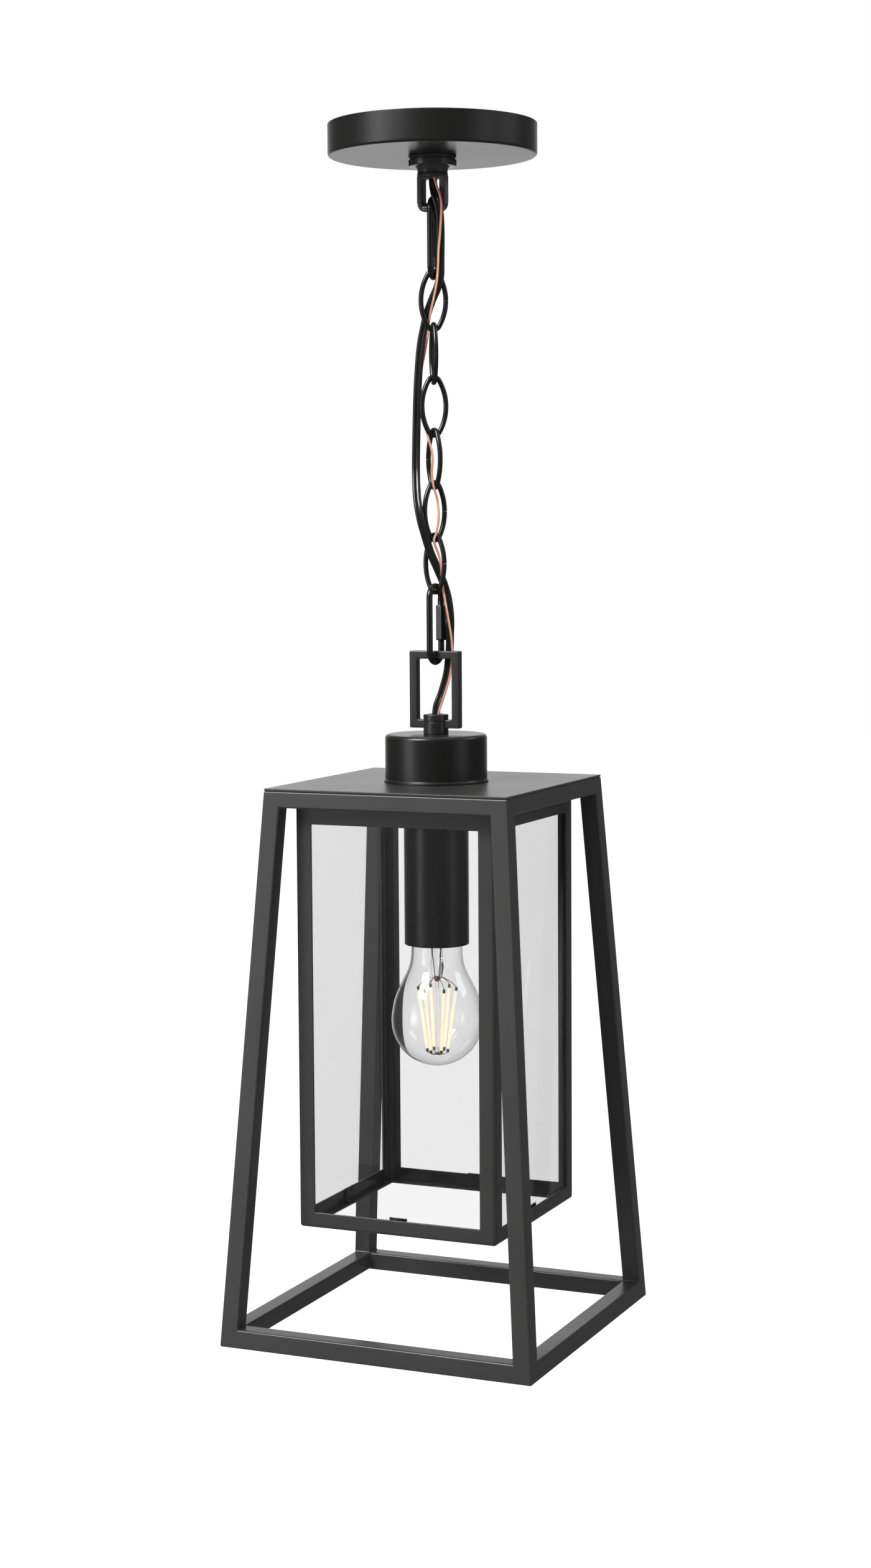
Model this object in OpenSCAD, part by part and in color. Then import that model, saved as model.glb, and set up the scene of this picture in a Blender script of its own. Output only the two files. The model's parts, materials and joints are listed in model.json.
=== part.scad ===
// Hanging square lantern: ceiling canopy, chain of links, tapered tube frame,
// glazed inner cage, lamp socket and filament bulb.
// Units mm. Origin: ceiling plane, centre of the canopy. +Z up, front faces -Y.

/* [Display] */

/* [Canopy] */
canopy_d = 133;        // outside diameter
canopy_h = 20;         // ceiling to flat underside
canopy_t = 1.2;        // sheet thickness
bar_end = 15.1;        // crossbar length past the screw spacing
bar_w = 16;            // crossbar width
bar_t = 2.4;           // crossbar thickness
slot_w = 4.8;          // clears an 8-32 screw
slot_l = 12;           // slot end to end
slot_pitch = 88.9;     // box screw spacing
screw_x = 22;          // ground screw, from the middle
nipple_d = 10;         // threaded pipe
nipple_bore = 8;
nipple_out = 9;        // pipe below the canopy
ring_d = 30.4;         // knurled collar ring
ring_h = 6.5;
neck_d = 21.6;         // thread under the ring
neck_h = 12.6;
loop_w = 18.6;         // canopy loop width
loop_depth = 7.2;
loop_h = 34.8;         // canopy underside to the foot of the loop
loop_bar = 5.8;        // height of the loop's crossbar
loop_side = 3.5;       // width of the loop's two sides

/* [Chain] */
link_l = 40;           // ordinary link, outside length
link_w = 19;
link_d = 3.2;          // wire
link_end_r = 4;        // centreline radius of the narrow ends
quick_l = 52.8;        // quick link, outside length
quick_w = 19;
quick_d = 4;
rest_gap = 0.1;        // between a wire and its hard seat
wire_gap = 0.2;        // between two wires
yaw_q1 = 100;          // plane of the upper quick link, degrees from +X
yaw_q2 = 84;           // plane of the lower quick link
yaw_links = [24, 124, 38, 142, 60, 162];
seam_side = [1, -1, -1, 1, 1, -1]; // side that carries the butt seam
sleeve_af = 6.6;       // quick link nut, across flats

/* [Hanger] */
bail_w = 35;
bail_h = 49.9;
bail_bar = 5.5;
bail_top_bar = 5.2;    // height of the top bar
hub_d = 16.2;
hub_h = 12.7;
cup_d = 66;
cup_h = 31;
cup_t = 1.5;
stem_d = 10;
stem_bore = 8;
stem_gap = 0.2;        // round the stem in the plates

/* [Outer frame] */
frame_h = 357;         // top of the roof to the underside of the bottom rails
roof_half = 83;        // half width at the roof
base_half = 107;       // half width at the base
plate_t = 1.5;
tube = 12;             // square tube
tube_t = 1.2;

/* [Inner cage] */
cage_half = 68.2;
cage_h = 282.5;        // below the roof plate
skirt_h = 21.9;
post_w = 11;
post_fold = 7;         // inner fold of a post
rail_h = 10;
sheet_t = 1.4;
pan_t = 1.2;
lip_w = 7;
glass_t = 2;

/* [Socket and bulb] */
sleeve_d = 42;
sleeve_h = 103.3;      // below the pan
bulb_r = 30;
bulb_l = 107;          // contact to the foot of the glass

/* [Hidden] */
$fn = 72;
bar_l = slot_pitch + bar_end;
loop_bot = -canopy_h - loop_h;
loop_seat = loop_bot + loop_bar;                 // top of the loop's crossbar
slot_half = loop_w / 2 - loop_side;
quick_top = loop_seat + quick_d / 2 + rest_gap;  // wire centre, top of the upper quick link
hook_z = quick_top - (quick_l - quick_d);        // wire centre, foot of the upper quick link
sleeve_l = quick_l - quick_w - 11.3;             // quick link nut
seat_q = (link_d + quick_d) / 2 + wire_gap;      // seat of a link in a quick link, wire centre to centre
seat_o = link_d + wire_gap;                      // seat of a link in a link
link_drop = link_l - link_d;
link_c = link_drop / 2 - link_end_r;             // end arc centres, up and down
link_top_z = [for (i = [0:5]) hook_z + seat_q - i * (link_drop - seat_o)];
quick2_top = link_top_z[5] - link_drop + seat_q;
quick2_bot = quick2_top - (quick_l - quick_d);
bail_top = quick2_bot + quick_d / 2 + rest_gap + bail_top_bar;
bail_bot = bail_top - bail_h;
cup_top = bail_bot - 3.7;
hub_top = cup_top + hub_h;
stem_top = hub_top - 4.2;
roof_z = cup_top - cup_h;                        // top face of the roof plate
base_z = roof_z - frame_h;                       // underside of the bottom rails
pan_z = roof_z - plate_t;                        // top face of the cage pan
skirt_bot = pan_z - skirt_h;
cage_bot = pan_z - cage_h;
sleeve_top = pan_z - pan_t;
sleeve_bot = sleeve_top - sleeve_h;
stem_bot = sleeve_bot + 54;                      // the socket hangs on the stem
tip_z = sleeve_bot + 27;                         // centre contact
bulb_bot = tip_z - bulb_l;
stem_r = stem_d / 2;
sleeve_roof = 1.5;
view_a = 23.7;         // the cords are laid out in planes turned by this angle
er = [cos(view_a), sin(view_a), 0];
ef = [sin(view_a), -cos(view_a), 0];
black = [0.05, 0.05, 0.05];
brass = [0.75, 0.6, 0.3];
steel = [0.6, 0.6, 0.62];
pane = [0.85, 0.88, 0.88, 0.3];

// each row: sideways, forward, height
flex_route = [
  [0, 0, -4], [0, 0, -20], [0, 0, -30], [0.2, 0.9, -34], [0.4, 3.6, -39], [1.4, 7.6, -45], [3.2, 9.2, -51], [4.4, 9.2, -58],
  [4.8, 8, -70], [4.6, 6.4, -86], [4.4, 5.2, -95], [2.8, 3.2, -102], [-0.8, -0.6, -110],
  [-3.8, -3.6, -118], [-5.6, -5, -125], [-8.4, -5, -140], [-10.4, -4.6, -165], [-11.4, -4, -195],
  [-11.8, -1.6, -217], [-11.4, 3.4, -233], [-10.2, 6.6, -243], [-8.6, 7.8, -251], [-5.8, 6, -261], [-3, 2.6, -270],
  [0.6, 0.6, -278.5], [3.4, -1.2, -285], [5.8, -1.8, -291], [8.2, -0.6, -300], [9.6, -0.2, -312],
  [9.4, -1.6, -323], [9.2, -3, -331], [8.4, -3, -341], [7, -2.6, -350], [3.8, -1.8, -361],
  [0.8, -0.8, -369], [0, -0.4, -376], [0, 0, -384], [0, 0, -430], [0, 0, -486]];
ground_route = [
  [0, 2.4, -4], [0, 2.4, -20], [0.2, 2.5, -30], [1.4, 4.4, -35], [2.6, 7, -39.5], [4.4, 10.4, -45], [5.4, 11.8, -52],
  [4.6, 10.6, -67], [3.4, 9, -80], [3, 7.8, -90], [2.2, 6.2, -99], [0.2, 2.6, -109],
  [-2.2, -1.6, -119], [-3, -2.8, -124], [-3.4, -3.6, -130], [-5.2, -7.6, -140], [-8, -8, -155],
  [-9.6, -7.6, -175], [-7.6, -6.2, -184], [-5.8, -3.4, -191], [-4.2, -0.8, -196], [-1.2, 0.4, -208],
  [-1.6, 3.4, -220], [-0.6, 4.2, -228], [2, 1.4, -238], [2.6, 2.2, -248], [1.2, 4.6, -257],
  [-0.6, 4.8, -263], [2.4, 2.6, -272], [4, 2, -280], [4.2, 1, -286], [4.8, 0.6, -292],
  [7, 2.4, -305], [9.8, 1.2, -322], [10.6, -0.2, -331], [10.4, -0.2, -341], [8.8, 0, -351],
  [5.6, 0.8, -362], [2.4, 1.8, -371], [0.8, 2.4, -378], [0, 2.5, -386], [0, 2.5, -430], [0, 2.5, -486]];

// ---------- helpers ----------
function half_at(z) = roof_half + (base_half - roof_half) * (roof_z - z) / (roof_z - base_z);
function unit(v) = v / norm(v);
function spline(a, b, c, d, t) =
  0.5 * (2 * b + (c - a) * t + (2 * a - 5 * b + 4 * c - d) * t * t + (3 * b - a - 3 * c + d) * t * t * t);
function at(p, i) = p[max(0, min(len(p) - 1, i))];
function smooth(p) = concat(
  [for (i = [0:len(p) - 2], t = [0, 0.5]) spline(at(p, i - 1), p[i], p[i + 1], at(p, i + 2), t)],
  [p[len(p) - 1]]);
function place(p) = p[0] * er + p[1] * ef + [0, 0, p[2]];

// round or oval rope through a list of points, w wide and h thick
module rope(route, w, h, sides = 8) {
  q = [for (p = smooth(route)) place(p)];
  n = len(q);
  ring = [for (i = [0:n - 1])
    let (t = unit(q[min(n - 1, i + 1)] - q[max(0, i - 1)]),
         a = unit(er - (er * t) * t), b = cross(t, a))
    for (k = [0:sides - 1]) q[i] + a * cos(k * 360 / sides + 22.5) * w / 2 + b * sin(k * 360 / sides + 22.5) * h / 2];
  polyhedron(ring, concat(
    [[for (k = [0:sides - 1]) k]],
    [for (i = [0:n - 2], k = [0:sides - 1], half = [0, 1])
      let (k2 = (k + 1) % sides, a = i * sides, b = (i + 1) * sides)
      half == 0 ? [a + k, b + k, b + k2] : [a + k, b + k2, a + k2]],
    [[for (k = [sides - 1:-1:0]) (n - 1) * sides + k]]));
}

// open ring of four arcs in the XZ plane, top wire centre at the origin; the butt seam is in one side
link_side_r = (pow((link_w - link_d) / 2, 2) + pow(link_c, 2) - pow(link_end_r, 2)) / (link_w - link_d - 2 * link_end_r);
link_a = atan2(link_c, link_side_r - (link_w - link_d) / 2);
function on_side(t, m) = [m * ((link_w - link_d) / 2 - link_side_r + link_side_r * cos(t)), m * link_side_r * sin(t)];
function on_end(t, m) = [link_end_r * cos(t), m * link_c + link_end_r * sin(t)];
link_path = concat(
  [for (k = [0:6]) on_side(0.27 + (link_a - 0.27) * k / 7, 1)],
  [for (k = [0:10]) on_end(link_a + (180 - 2 * link_a) * k / 11, 1)],
  [for (k = [0:13]) on_side(-link_a + 2 * link_a * k / 14, -1)],
  [for (k = [0:10]) on_end(180 + link_a + (180 - 2 * link_a) * k / 11, -1)],
  [for (k = [0:7]) on_side(-link_a + (link_a - 0.27) * k / 7, 1)]);
module oval_link(seam) {
  n = len(link_path);
  sides = 12;
  ring = [for (i = [0:n - 1])
    let (t = unit(link_path[min(n - 1, i + 1)] - link_path[max(0, i - 1)]))
    for (k = [0:sides - 1]) let (c = cos(k * 360 / sides + 15) * link_d / 2, y = sin(k * 360 / sides + 15) * link_d / 2)
      [link_path[i][0] + t[1] * c, y, link_path[i][1] - t[0] * c]];
  translate([0, 0, -link_c - link_end_r]) mirror([seam > 0 ? 0 : 1, 0, 0]) polyhedron(ring, concat(
    [[for (k = [sides - 1:-1:0]) k]],
    [for (i = [0:n - 2], k = [0:sides - 1], half = [0, 1])
      let (k2 = (k + 1) % sides, a = i * sides, b = (i + 1) * sides)
      half == 0 ? [a + k, b + k2, b + k] : [a + k, a + k2, b + k2]],
    [[for (k = [0:sides - 1]) (n - 1) * sides + k]]));
}
module chain_link(i) translate([0, 0, link_top_z[i]]) rotate([0, 0, yaw_links[i]]) oval_link(seam_side[i]);
module chain_link_1() color(black) chain_link(0);
module chain_link_2() color(black) chain_link(1);
module chain_link_3() color(black) chain_link(2);
module chain_link_4() color(black) chain_link(3);
module chain_link_5() color(black) chain_link(4);
module chain_link_6() color(black) chain_link(5);

// quick link: long ring with a gate on the +X leg, top wire centre at the origin
module quick_ring() {
  h = (quick_l - quick_d) / 2;
  w = (quick_w - quick_d) / 2;
  c = h - w;
  translate([0, 0, -h]) rotate([90, 0, 0]) {
    for (s = [0, 180]) rotate([0, 0, s]) translate([0, c, 0])
      rotate_extrude(angle = 180) translate([w, 0]) circle(d = quick_d);
    translate([-w, 0, 0]) rotate([90, 0, 0]) cylinder(d = quick_d, h = 2 * c, center = true);
    // threaded stub above the gate, plain rod below it
    translate([w, c, 0]) rotate([90, 0, 0]) cylinder(d = quick_d, h = 11);
    for (k = [0:3]) translate([w, c - 0.9 - k * 1.1, 0]) rotate([90, 0, 0]) cylinder(d = 4.6, h = 0.5);
    translate([w, -c, 0]) rotate([-90, 0, 0]) cylinder(d = quick_d, h = 2 * c - 13);
  }
}
// long hexagon nut of the gate, open bore, chamfered ends
module quick_sleeve() {
  h = (quick_l - quick_d) / 2;
  w = (quick_w - quick_d) / 2;
  top = -w - 4.9;
  translate([w, 0, top - sleeve_l]) difference() {
    intersection() {
      cylinder(r = sleeve_af / sqrt(3), h = sleeve_l, $fn = 6);
      rotate_extrude() polygon([[0, 0], [3.2, 0], [4, 0.8], [4, sleeve_l - 0.8], [3.2, sleeve_l], [0, sleeve_l]]);
    }
    translate([0, 0, -1]) cylinder(d = 4.4, h = sleeve_l + 2);
  }
}
module top_link() color(black) translate([0, 0, quick_top]) rotate([0, 0, yaw_q1]) quick_ring();
module top_link_sleeve() color(black) translate([0, 0, quick_top]) rotate([0, 0, yaw_q1]) quick_sleeve();
module bottom_link() color(black) translate([0, 0, quick2_top]) rotate([0, 0, yaw_q2]) quick_ring();
module bottom_link_sleeve() color(black) translate([0, 0, quick2_top]) rotate([0, 0, yaw_q2]) quick_sleeve();

// ---------- ceiling set ----------
module canopy() color(black) rotate_extrude() {
  r = canopy_d / 2;
  difference() {
    union() {
      translate([nipple_d / 2 + 0.2, -canopy_h]) square([r - 1.7 - nipple_d / 2, 3]);
      translate([r - 3, -canopy_h + 1.5]) square([3, canopy_h - 1.5]);
      translate([r - 1.5, -canopy_h + 1.5]) circle(r = 1.5);
    }
    translate([0, -canopy_h + canopy_t]) square([r - canopy_t, canopy_h]);
  }
}
module crossbar() color(steel) difference() {
  translate([-bar_l / 2, -bar_w / 2, -bar_t]) cube([bar_l, bar_w, bar_t]);
  translate([0, 0, -bar_t - 1]) cylinder(d = nipple_d, h = bar_t + 2);
  for (s = [-1, 1]) translate([s * slot_pitch / 2, 0, -bar_t - 1]) {
    cube_w = slot_l - slot_w;
    translate([-cube_w / 2, -slot_w / 2, 0]) cube([cube_w, slot_w, bar_t + 2]);
    for (e = [-1, 1]) translate([e * cube_w / 2, 0, 0]) cylinder(d = slot_w, h = bar_t + 2);
  }
  translate([screw_x, 0, -bar_t - 1]) cylinder(d = 4, h = bar_t + 2);
}
module ground_screw() color([0.1, 0.45, 0.2]) translate([screw_x, 0, 0]) {
  translate([0, 0, -bar_t - 3]) cylinder(r = 4.4, h = 3, $fn = 6);
  translate([0, 0, -bar_t]) cylinder(d = 4, h = bar_t + 1.6);
}
module canopy_nipple() color(steel) translate([0, 0, -canopy_h - nipple_out]) difference() {
  cylinder(d = nipple_d, h = canopy_h + nipple_out - 1);
  translate([0, 0, -1]) cylinder(d = nipple_bore, h = canopy_h + nipple_out + 1);
}
module nipple_nut() color(steel) translate([0, 0, -bar_t - 4]) difference() {
  cylinder(r = nipple_d / 2 + 3, h = 4, $fn = 6);
  translate([0, 0, -1]) cylinder(d = nipple_d, h = 6);
}
module canopy_loop() color(black) difference() {
  union() {
    rotate_extrude() polygon([for (p = [[-neck_d / 2, 0], [0, 0], [0, 7], [-0.35, 7.2], [-1, 8.6], [-1.2, 10],
      [-1.1, 11.4], [-0.85, neck_h], [-neck_d / 2, neck_h]]) [neck_d / 2 + p[0], -canopy_h - p[1]]]);
    rotate([90, 0, 0]) linear_extrude(loop_depth, center = true) difference() {
      union() {
        translate([-loop_w / 2, loop_bot + 5]) square([loop_w, loop_h - neck_h + 0.1 - 5]);
        translate([-loop_w / 2 + 5, loop_bot]) square([loop_w - 10, 6]);
        for (s = [-1, 1]) translate([s * (loop_w / 2 - 5), loop_bot + 5]) circle(r = 5);
      }
      translate([-slot_half, loop_seat]) square([2 * slot_half, loop_h - loop_bar - neck_h - 1.8]);
    }
  }
  // half-round saddle on the crossbar
  difference() {
    translate([-slot_half, -loop_depth / 2 - 1, loop_seat - loop_depth / 2]) cube([2 * slot_half, loop_depth + 2, loop_depth / 2 + 0.1]);
    translate([0, 0, loop_seat - loop_depth / 2]) rotate([0, 90, 0]) cylinder(r = loop_depth / 2, h = 20, center = true);
  }
  translate([0, 0, -canopy_h - neck_h - 7.4]) cylinder(d = nipple_d, h = neck_h + 17.4);
}
module collar_ring() color(black) translate([0, 0, -canopy_h - ring_h]) difference() {
  union() {
    cylinder(d = ring_d, h = ring_h - 2.2);
    cylinder(d = ring_d - 1.6, h = ring_h);
    translate([0, 0, ring_h - 1.6]) cylinder(d = ring_d, h = 1.6);
  }
  translate([0, 0, -1]) cylinder(d = neck_d + 0.3, h = ring_h + 2);
}
module supply_cord() color(black) rope(flex_route, 5.4, 2.7);
module ground_wire() color([0.72, 0.42, 0.28]) rope(ground_route, 1.5, 1.5, 6);

// ---------- hanger ----------
module bail_loop() color(black) difference() {
  union() {
    rotate([90, 0, 0]) linear_extrude(bail_bar, center = true) difference() {
      translate([-bail_w / 2, bail_bot]) square([bail_w, bail_top - bail_bot]);
      translate([-bail_w / 2 + bail_bar, bail_bot + bail_bar])
        square([bail_w - 2 * bail_bar, bail_h - bail_top_bar - bail_bar]);
    }
    translate([0, 0, cup_top]) cylinder(d = hub_d, h = hub_top - cup_top);
  }
  // rounded underside of the top bar
  difference() {
    translate([bail_bar - bail_w / 2, -4, bail_top - bail_top_bar - 0.8]) cube([bail_w - 2 * bail_bar, 8, 0.8 + bail_bar / 2]);
    translate([0, 0, bail_top - bail_top_bar + bail_bar / 2]) rotate([0, 90, 0]) cylinder(r = bail_bar / 2, h = bail_w - 5, center = true);
  }
  translate([0, 0, cup_top - 1]) cylinder(d = stem_d, h = 20);
}
module stem_tube() color(steel) translate([0, 0, stem_bot]) difference() {
  cylinder(d = stem_d, h = stem_top - stem_bot);
  translate([0, 0, -1]) cylinder(d = stem_bore, h = stem_top - stem_bot + 2);
}
module cup() color(black) translate([0, 0, roof_z]) rotate_extrude() {
  h = cup_top - roof_z;
  r = cup_d / 2;
  difference() {
    union() {
      translate([stem_r + stem_gap, 1]) square([r - 3 - stem_r - stem_gap, h - 1]);
      square([r, h - 3]);
      translate([r - 3, h - 3]) circle(r = 3);
      square([r + 0.7, 1.6]);
    }
    translate([-1, -1]) square([r + 1 - cup_t, h + 1 - cup_t]);
  }
}
module stem_nut() color(steel) translate([0, 0, sleeve_top - sleeve_roof - 5]) difference() {
  cylinder(r = stem_r + 3, h = 5, $fn = 6);
  translate([0, 0, -1]) cylinder(d = stem_d, h = 7);
}

// ---------- outer frame ----------
module roof_plate() color(black) difference() {
  translate([-roof_half, -roof_half, roof_z - plate_t]) cube([2 * roof_half, 2 * roof_half, plate_t]);
  translate([0, 0, roof_z - 5]) cylinder(d = stem_d + 2 * stem_gap, h = 10);
}
module wedge() translate([0, 0, base_z - 25]) linear_extrude(frame_h + 143)
  polygon([[0, 0], [-base_half - 143, -base_half - 143], [base_half + 143, -base_half - 143]]);
// front rail between z1 (top) and z0, hollow, mitred
module rail(z1, z0) intersection() {
  rotate([90, 0, 90]) linear_extrude(2 * base_half + 46, center = true) difference() {
    polygon([[-half_at(z1), z1], [-half_at(z0), z0], [-half_at(z0) + tube, z0], [-half_at(z1) + tube, z1]]);
    polygon([[-half_at(z1 - tube_t) + tube_t, z1 - tube_t], [-half_at(z0 + tube_t) + tube_t, z0 + tube_t],
      [-half_at(z0 + tube_t) + tube - tube_t, z0 + tube_t], [-half_at(z1 - tube_t) + tube - tube_t, z1 - tube_t]]);
  }
  wedge();
}
module post_stick(z1, z0, in0, in1) intersection() {
  rotate([90, 0, 0]) linear_extrude(2 * base_half + 86, center = true) polygon([[half_at(z1) - in0, z1],
    [half_at(z0) - in0, z0], [half_at(z0) - in1, z0], [half_at(z1) - in1, z1]]);
  rotate([90, 0, 90]) linear_extrude(2 * base_half + 86, center = true) polygon([[in0 - half_at(z1), z1],
    [in0 - half_at(z0), z0], [in1 - half_at(z0), z0], [in1 - half_at(z1), z1]]);
}
module leg() difference() {
  post_stick(roof_z - tube, base_z + tube, 0, tube);
  post_stick(roof_z - tube + 1, base_z + tube - 1, tube_t, tube - tube_t);
}
module top_rail_front() color(black) rail(roof_z - plate_t, roof_z - tube);
module top_rail_right() rotate([0, 0, 90]) top_rail_front();
module top_rail_back() rotate([0, 0, 180]) top_rail_front();
module top_rail_left() rotate([0, 0, 270]) top_rail_front();
module leg_front_right() color(black) leg();
module leg_back_right() rotate([0, 0, 90]) leg_front_right();
module leg_back_left() rotate([0, 0, 180]) leg_front_right();
module leg_front_left() rotate([0, 0, 270]) leg_front_right();
module bottom_rail_front() color(black) rail(base_z + tube, base_z);
module bottom_rail_right() rotate([0, 0, 90]) bottom_rail_front();
module bottom_rail_back() rotate([0, 0, 180]) bottom_rail_front();
module bottom_rail_left() rotate([0, 0, 270]) bottom_rail_front();

// ---------- inner cage ----------
module cage_pan() color(black) {
  c = cage_half;
  difference() {
    translate([-c, -c, skirt_bot]) cube([2 * c, 2 * c, skirt_h]);
    translate([-c + pan_t, -c + pan_t, skirt_bot - 1]) cube([2 * (c - pan_t), 2 * (c - pan_t), skirt_h - pan_t + 1]);
    translate([0, 0, roof_z - 5]) cylinder(d = stem_d + 2 * stem_gap, h = 10);
  }
}
module cage_post_front_right() color(black) translate([cage_half, -cage_half, cage_bot + rail_h])
  mirror([1, 0, 0]) linear_extrude(skirt_bot - cage_bot - rail_h) polygon([[0, 0], [post_w, 0],
    [post_w, sheet_t], [post_fold, sheet_t], [post_fold, 2 * sheet_t], [2 * sheet_t, 2 * sheet_t], [2 * sheet_t, post_fold],
    [sheet_t, post_fold], [sheet_t, post_w], [0, post_w]]);
module cage_post_back_right() rotate([0, 0, 90]) cage_post_front_right();
module cage_post_back_left() rotate([0, 0, 180]) cage_post_front_right();
module cage_post_front_left() rotate([0, 0, 270]) cage_post_front_right();
module cage_rail_front() color(black) intersection() {
  c = cage_half;
  rotate([90, 0, 90]) linear_extrude(2 * c + 63.6, center = true) polygon([[-c, cage_bot], [-c + lip_w, cage_bot],
    [-c + lip_w, cage_bot + pan_t], [-c + sheet_t, cage_bot + pan_t], [-c + sheet_t, cage_bot + rail_h], [-c, cage_bot + rail_h]]);
  wedge();
}
module cage_rail_right() rotate([0, 0, 90]) cage_rail_front();
module cage_rail_back() rotate([0, 0, 180]) cage_rail_front();
module cage_rail_left() rotate([0, 0, 270]) cage_rail_front();
module glass_front() color(pane) translate([-cage_half + post_fold + 0.2, -cage_half + sheet_t, cage_bot + pan_t])
  cube([2 * (cage_half - post_fold - 0.2), glass_t, cage_h - skirt_h + 3.6 - pan_t]);
module glass_right() rotate([0, 0, 90]) glass_front();
module glass_back() rotate([0, 0, 180]) glass_front();
module glass_left() rotate([0, 0, 270]) glass_front();
module glass_tabs() color(black) for (a = [0:90:270]) rotate([0, 0, a])
  translate([-6, -cage_half + sheet_t + glass_t, cage_bot + pan_t]) {
    cube([12, 1, 14]);
    cube([12, 6, 1]);
  }

// ---------- socket ----------
module socket_sleeve() color(black) translate([0, 0, sleeve_bot]) difference() {
  cylinder(d = sleeve_d, h = sleeve_h);
  translate([0, 0, -1]) cylinder(d = sleeve_d - 2.4, h = sleeve_h + 1 - sleeve_roof);
  translate([0, 0, -1]) cylinder(d = stem_d + 2 * stem_gap, h = sleeve_h + 2);
}
module socket_body() color([0.9, 0.88, 0.84]) translate([0, 0, sleeve_bot]) rotate_extrude() polygon([[stem_r, 72],
  [stem_r + 4, 72], [stem_r + 4, 62], [sleeve_d / 2 - 2.5, 62], [sleeve_d / 2 - 2.5, 2], [14.6, 2], [14.6, 32], [2, 32],
  [2, 34], [stem_bore / 2, 34], [stem_bore / 2, 54], [stem_r, 54]]);
module socket_shell() color(brass) translate([0, 0, sleeve_bot]) rotate_extrude() polygon([[14.6, 2.5], [14.6, 32], [7, 32],
  [7, 31.2], [13.7, 31.2], [13.7, 2.5]]);
module socket_contact() color(brass) translate([0, 0, tip_z]) {
  cylinder(d = 5, h = 4);
  translate([0, 0, 4]) cylinder(d = 10, h = 1);
  translate([0, 0, 5]) cylinder(d = 4, h = 2.2);
}

// ---------- bulb, measured down from the centre contact ----------
module bulb_base() color(steel) translate([0, 0, tip_z]) rotate_extrude() polygon(concat(
  [[11, -6], [12.4, -6]],
  [for (k = [0:4]) each [[13.3, -7.6 - 3 * k], [13.3, -8.2 - 3 * k], [12.6, -9.4 - 3 * k]]],
  [[13.3, -22.6], [13.3, -24], [12.7, -24], [12.7, -22.6]],
  [for (k = [4:-1:0]) each [[12, -9.4 - 3 * k], [12.7, -8.2 - 3 * k], [12.7, -7.6 - 3 * k]]],
  [[12, -6.6], [11, -6.6]]));
module bulb_insulator() color([0.08, 0.08, 0.09]) translate([0, 0, tip_z]) rotate_extrude() polygon([[0, 0], [4.2, 0],
  [4.8, -0.6], [4.8, -2], [6, -2.2], [11, -5.6], [11, -7.4], [0, -7.4]]);
neck_line = [[11.4, -11], [11.8, -23.6], [12.6, -24.3]];
neck_low = 24.3;
// the flare from the neck to the round part, as shares of its width and its height
flare_line = [[0.1092, 0.0247], [0.2184, 0.0816], [0.2414, 0.184], [0.2759, 0.279], [0.3678, 0.374], [0.5517, 0.495],
  [0.7701, 0.64], [0.931, 0.791]];
glass_line = concat(neck_line, [for (p = flare_line)
  [12.6 + p[0] * (bulb_r - 12.6), -neck_low - p[1] * (bulb_l - bulb_r - neck_low)]]);
module bulb_glass() color(pane) translate([0, 0, tip_z]) rotate_extrude() {
  c = bulb_r - bulb_l;
  arc = [for (a = [4:-6:-86]) [bulb_r * cos(a), c + bulb_r * sin(a)]];
  inner = [for (a = [-86:6:4]) [(bulb_r - 0.8) * cos(a), c + (bulb_r - 0.8) * sin(a)]];
  polygon(concat(glass_line, arc, [[0, -bulb_l], [0, -bulb_l + 0.8]], inner,
    [for (i = [len(glass_line) - 1:-1:0]) [glass_line[i][0] - 0.8, glass_line[i][1] - (i > 1 && i < 5 ? 0.6 : 0)]]));
}
stick_low = 8.5;       // foot of the sticks above the foot of the glass
stick_l = 43.5;
module bulb_stem() color(pane) translate([0, 0, tip_z]) rotate_extrude() polygon([[0, -11.5], [8, -11.5], [7.4, -17],
  [5.6, -25], [5, -37], [5, -45], [3.6, -49], [1.2, -51], [1.2, -bulb_l + 7], [0, -bulb_l + 7]]);
// six light sticks on a cone with their support wires
module bulb_filaments() color([1, 0.85, 0.55]) translate([0, 0, bulb_bot + stick_low]) for (k = [0:5]) rotate([0, 0, 14 + 60 * k]) {
  translate([6.6, 0, 0]) rotate([0, 8, 0]) cylinder(d = 1.8, h = stick_l);
  translate([1.25, 0, -0.1]) rotate([0, 90, 0]) cylinder(d = 0.6, h = 6);
  translate([4.8, 0, stick_l + 8.5]) rotate([0, 136, 0]) cylinder(d = 0.6, h = 11.4);
}

canopy();
crossbar();
ground_screw();
canopy_nipple();
nipple_nut();
canopy_loop();
collar_ring();
top_link();
top_link_sleeve();
chain_link_1();
chain_link_2();
chain_link_3();
chain_link_4();
chain_link_5();
chain_link_6();
bottom_link();
bottom_link_sleeve();
supply_cord();
ground_wire();
bail_loop();
stem_tube();
cup();
stem_nut();
roof_plate();
top_rail_front();
top_rail_right();
top_rail_back();
top_rail_left();
leg_front_right();
leg_back_right();
leg_back_left();
leg_front_left();
bottom_rail_front();
bottom_rail_right();
bottom_rail_back();
bottom_rail_left();
cage_pan();
cage_post_front_right();
cage_post_back_right();
cage_post_back_left();
cage_post_front_left();
cage_rail_front();
cage_rail_right();
cage_rail_back();
cage_rail_left();
glass_front();
glass_right();
glass_back();
glass_left();
glass_tabs();
socket_sleeve();
socket_body();
socket_shell();
socket_contact();
bulb_base();
bulb_insulator();
bulb_glass();
bulb_stem();
bulb_filaments();
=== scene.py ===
import json
import math
import bmesh
import bpy
from mathutils import Matrix, Vector


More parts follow.
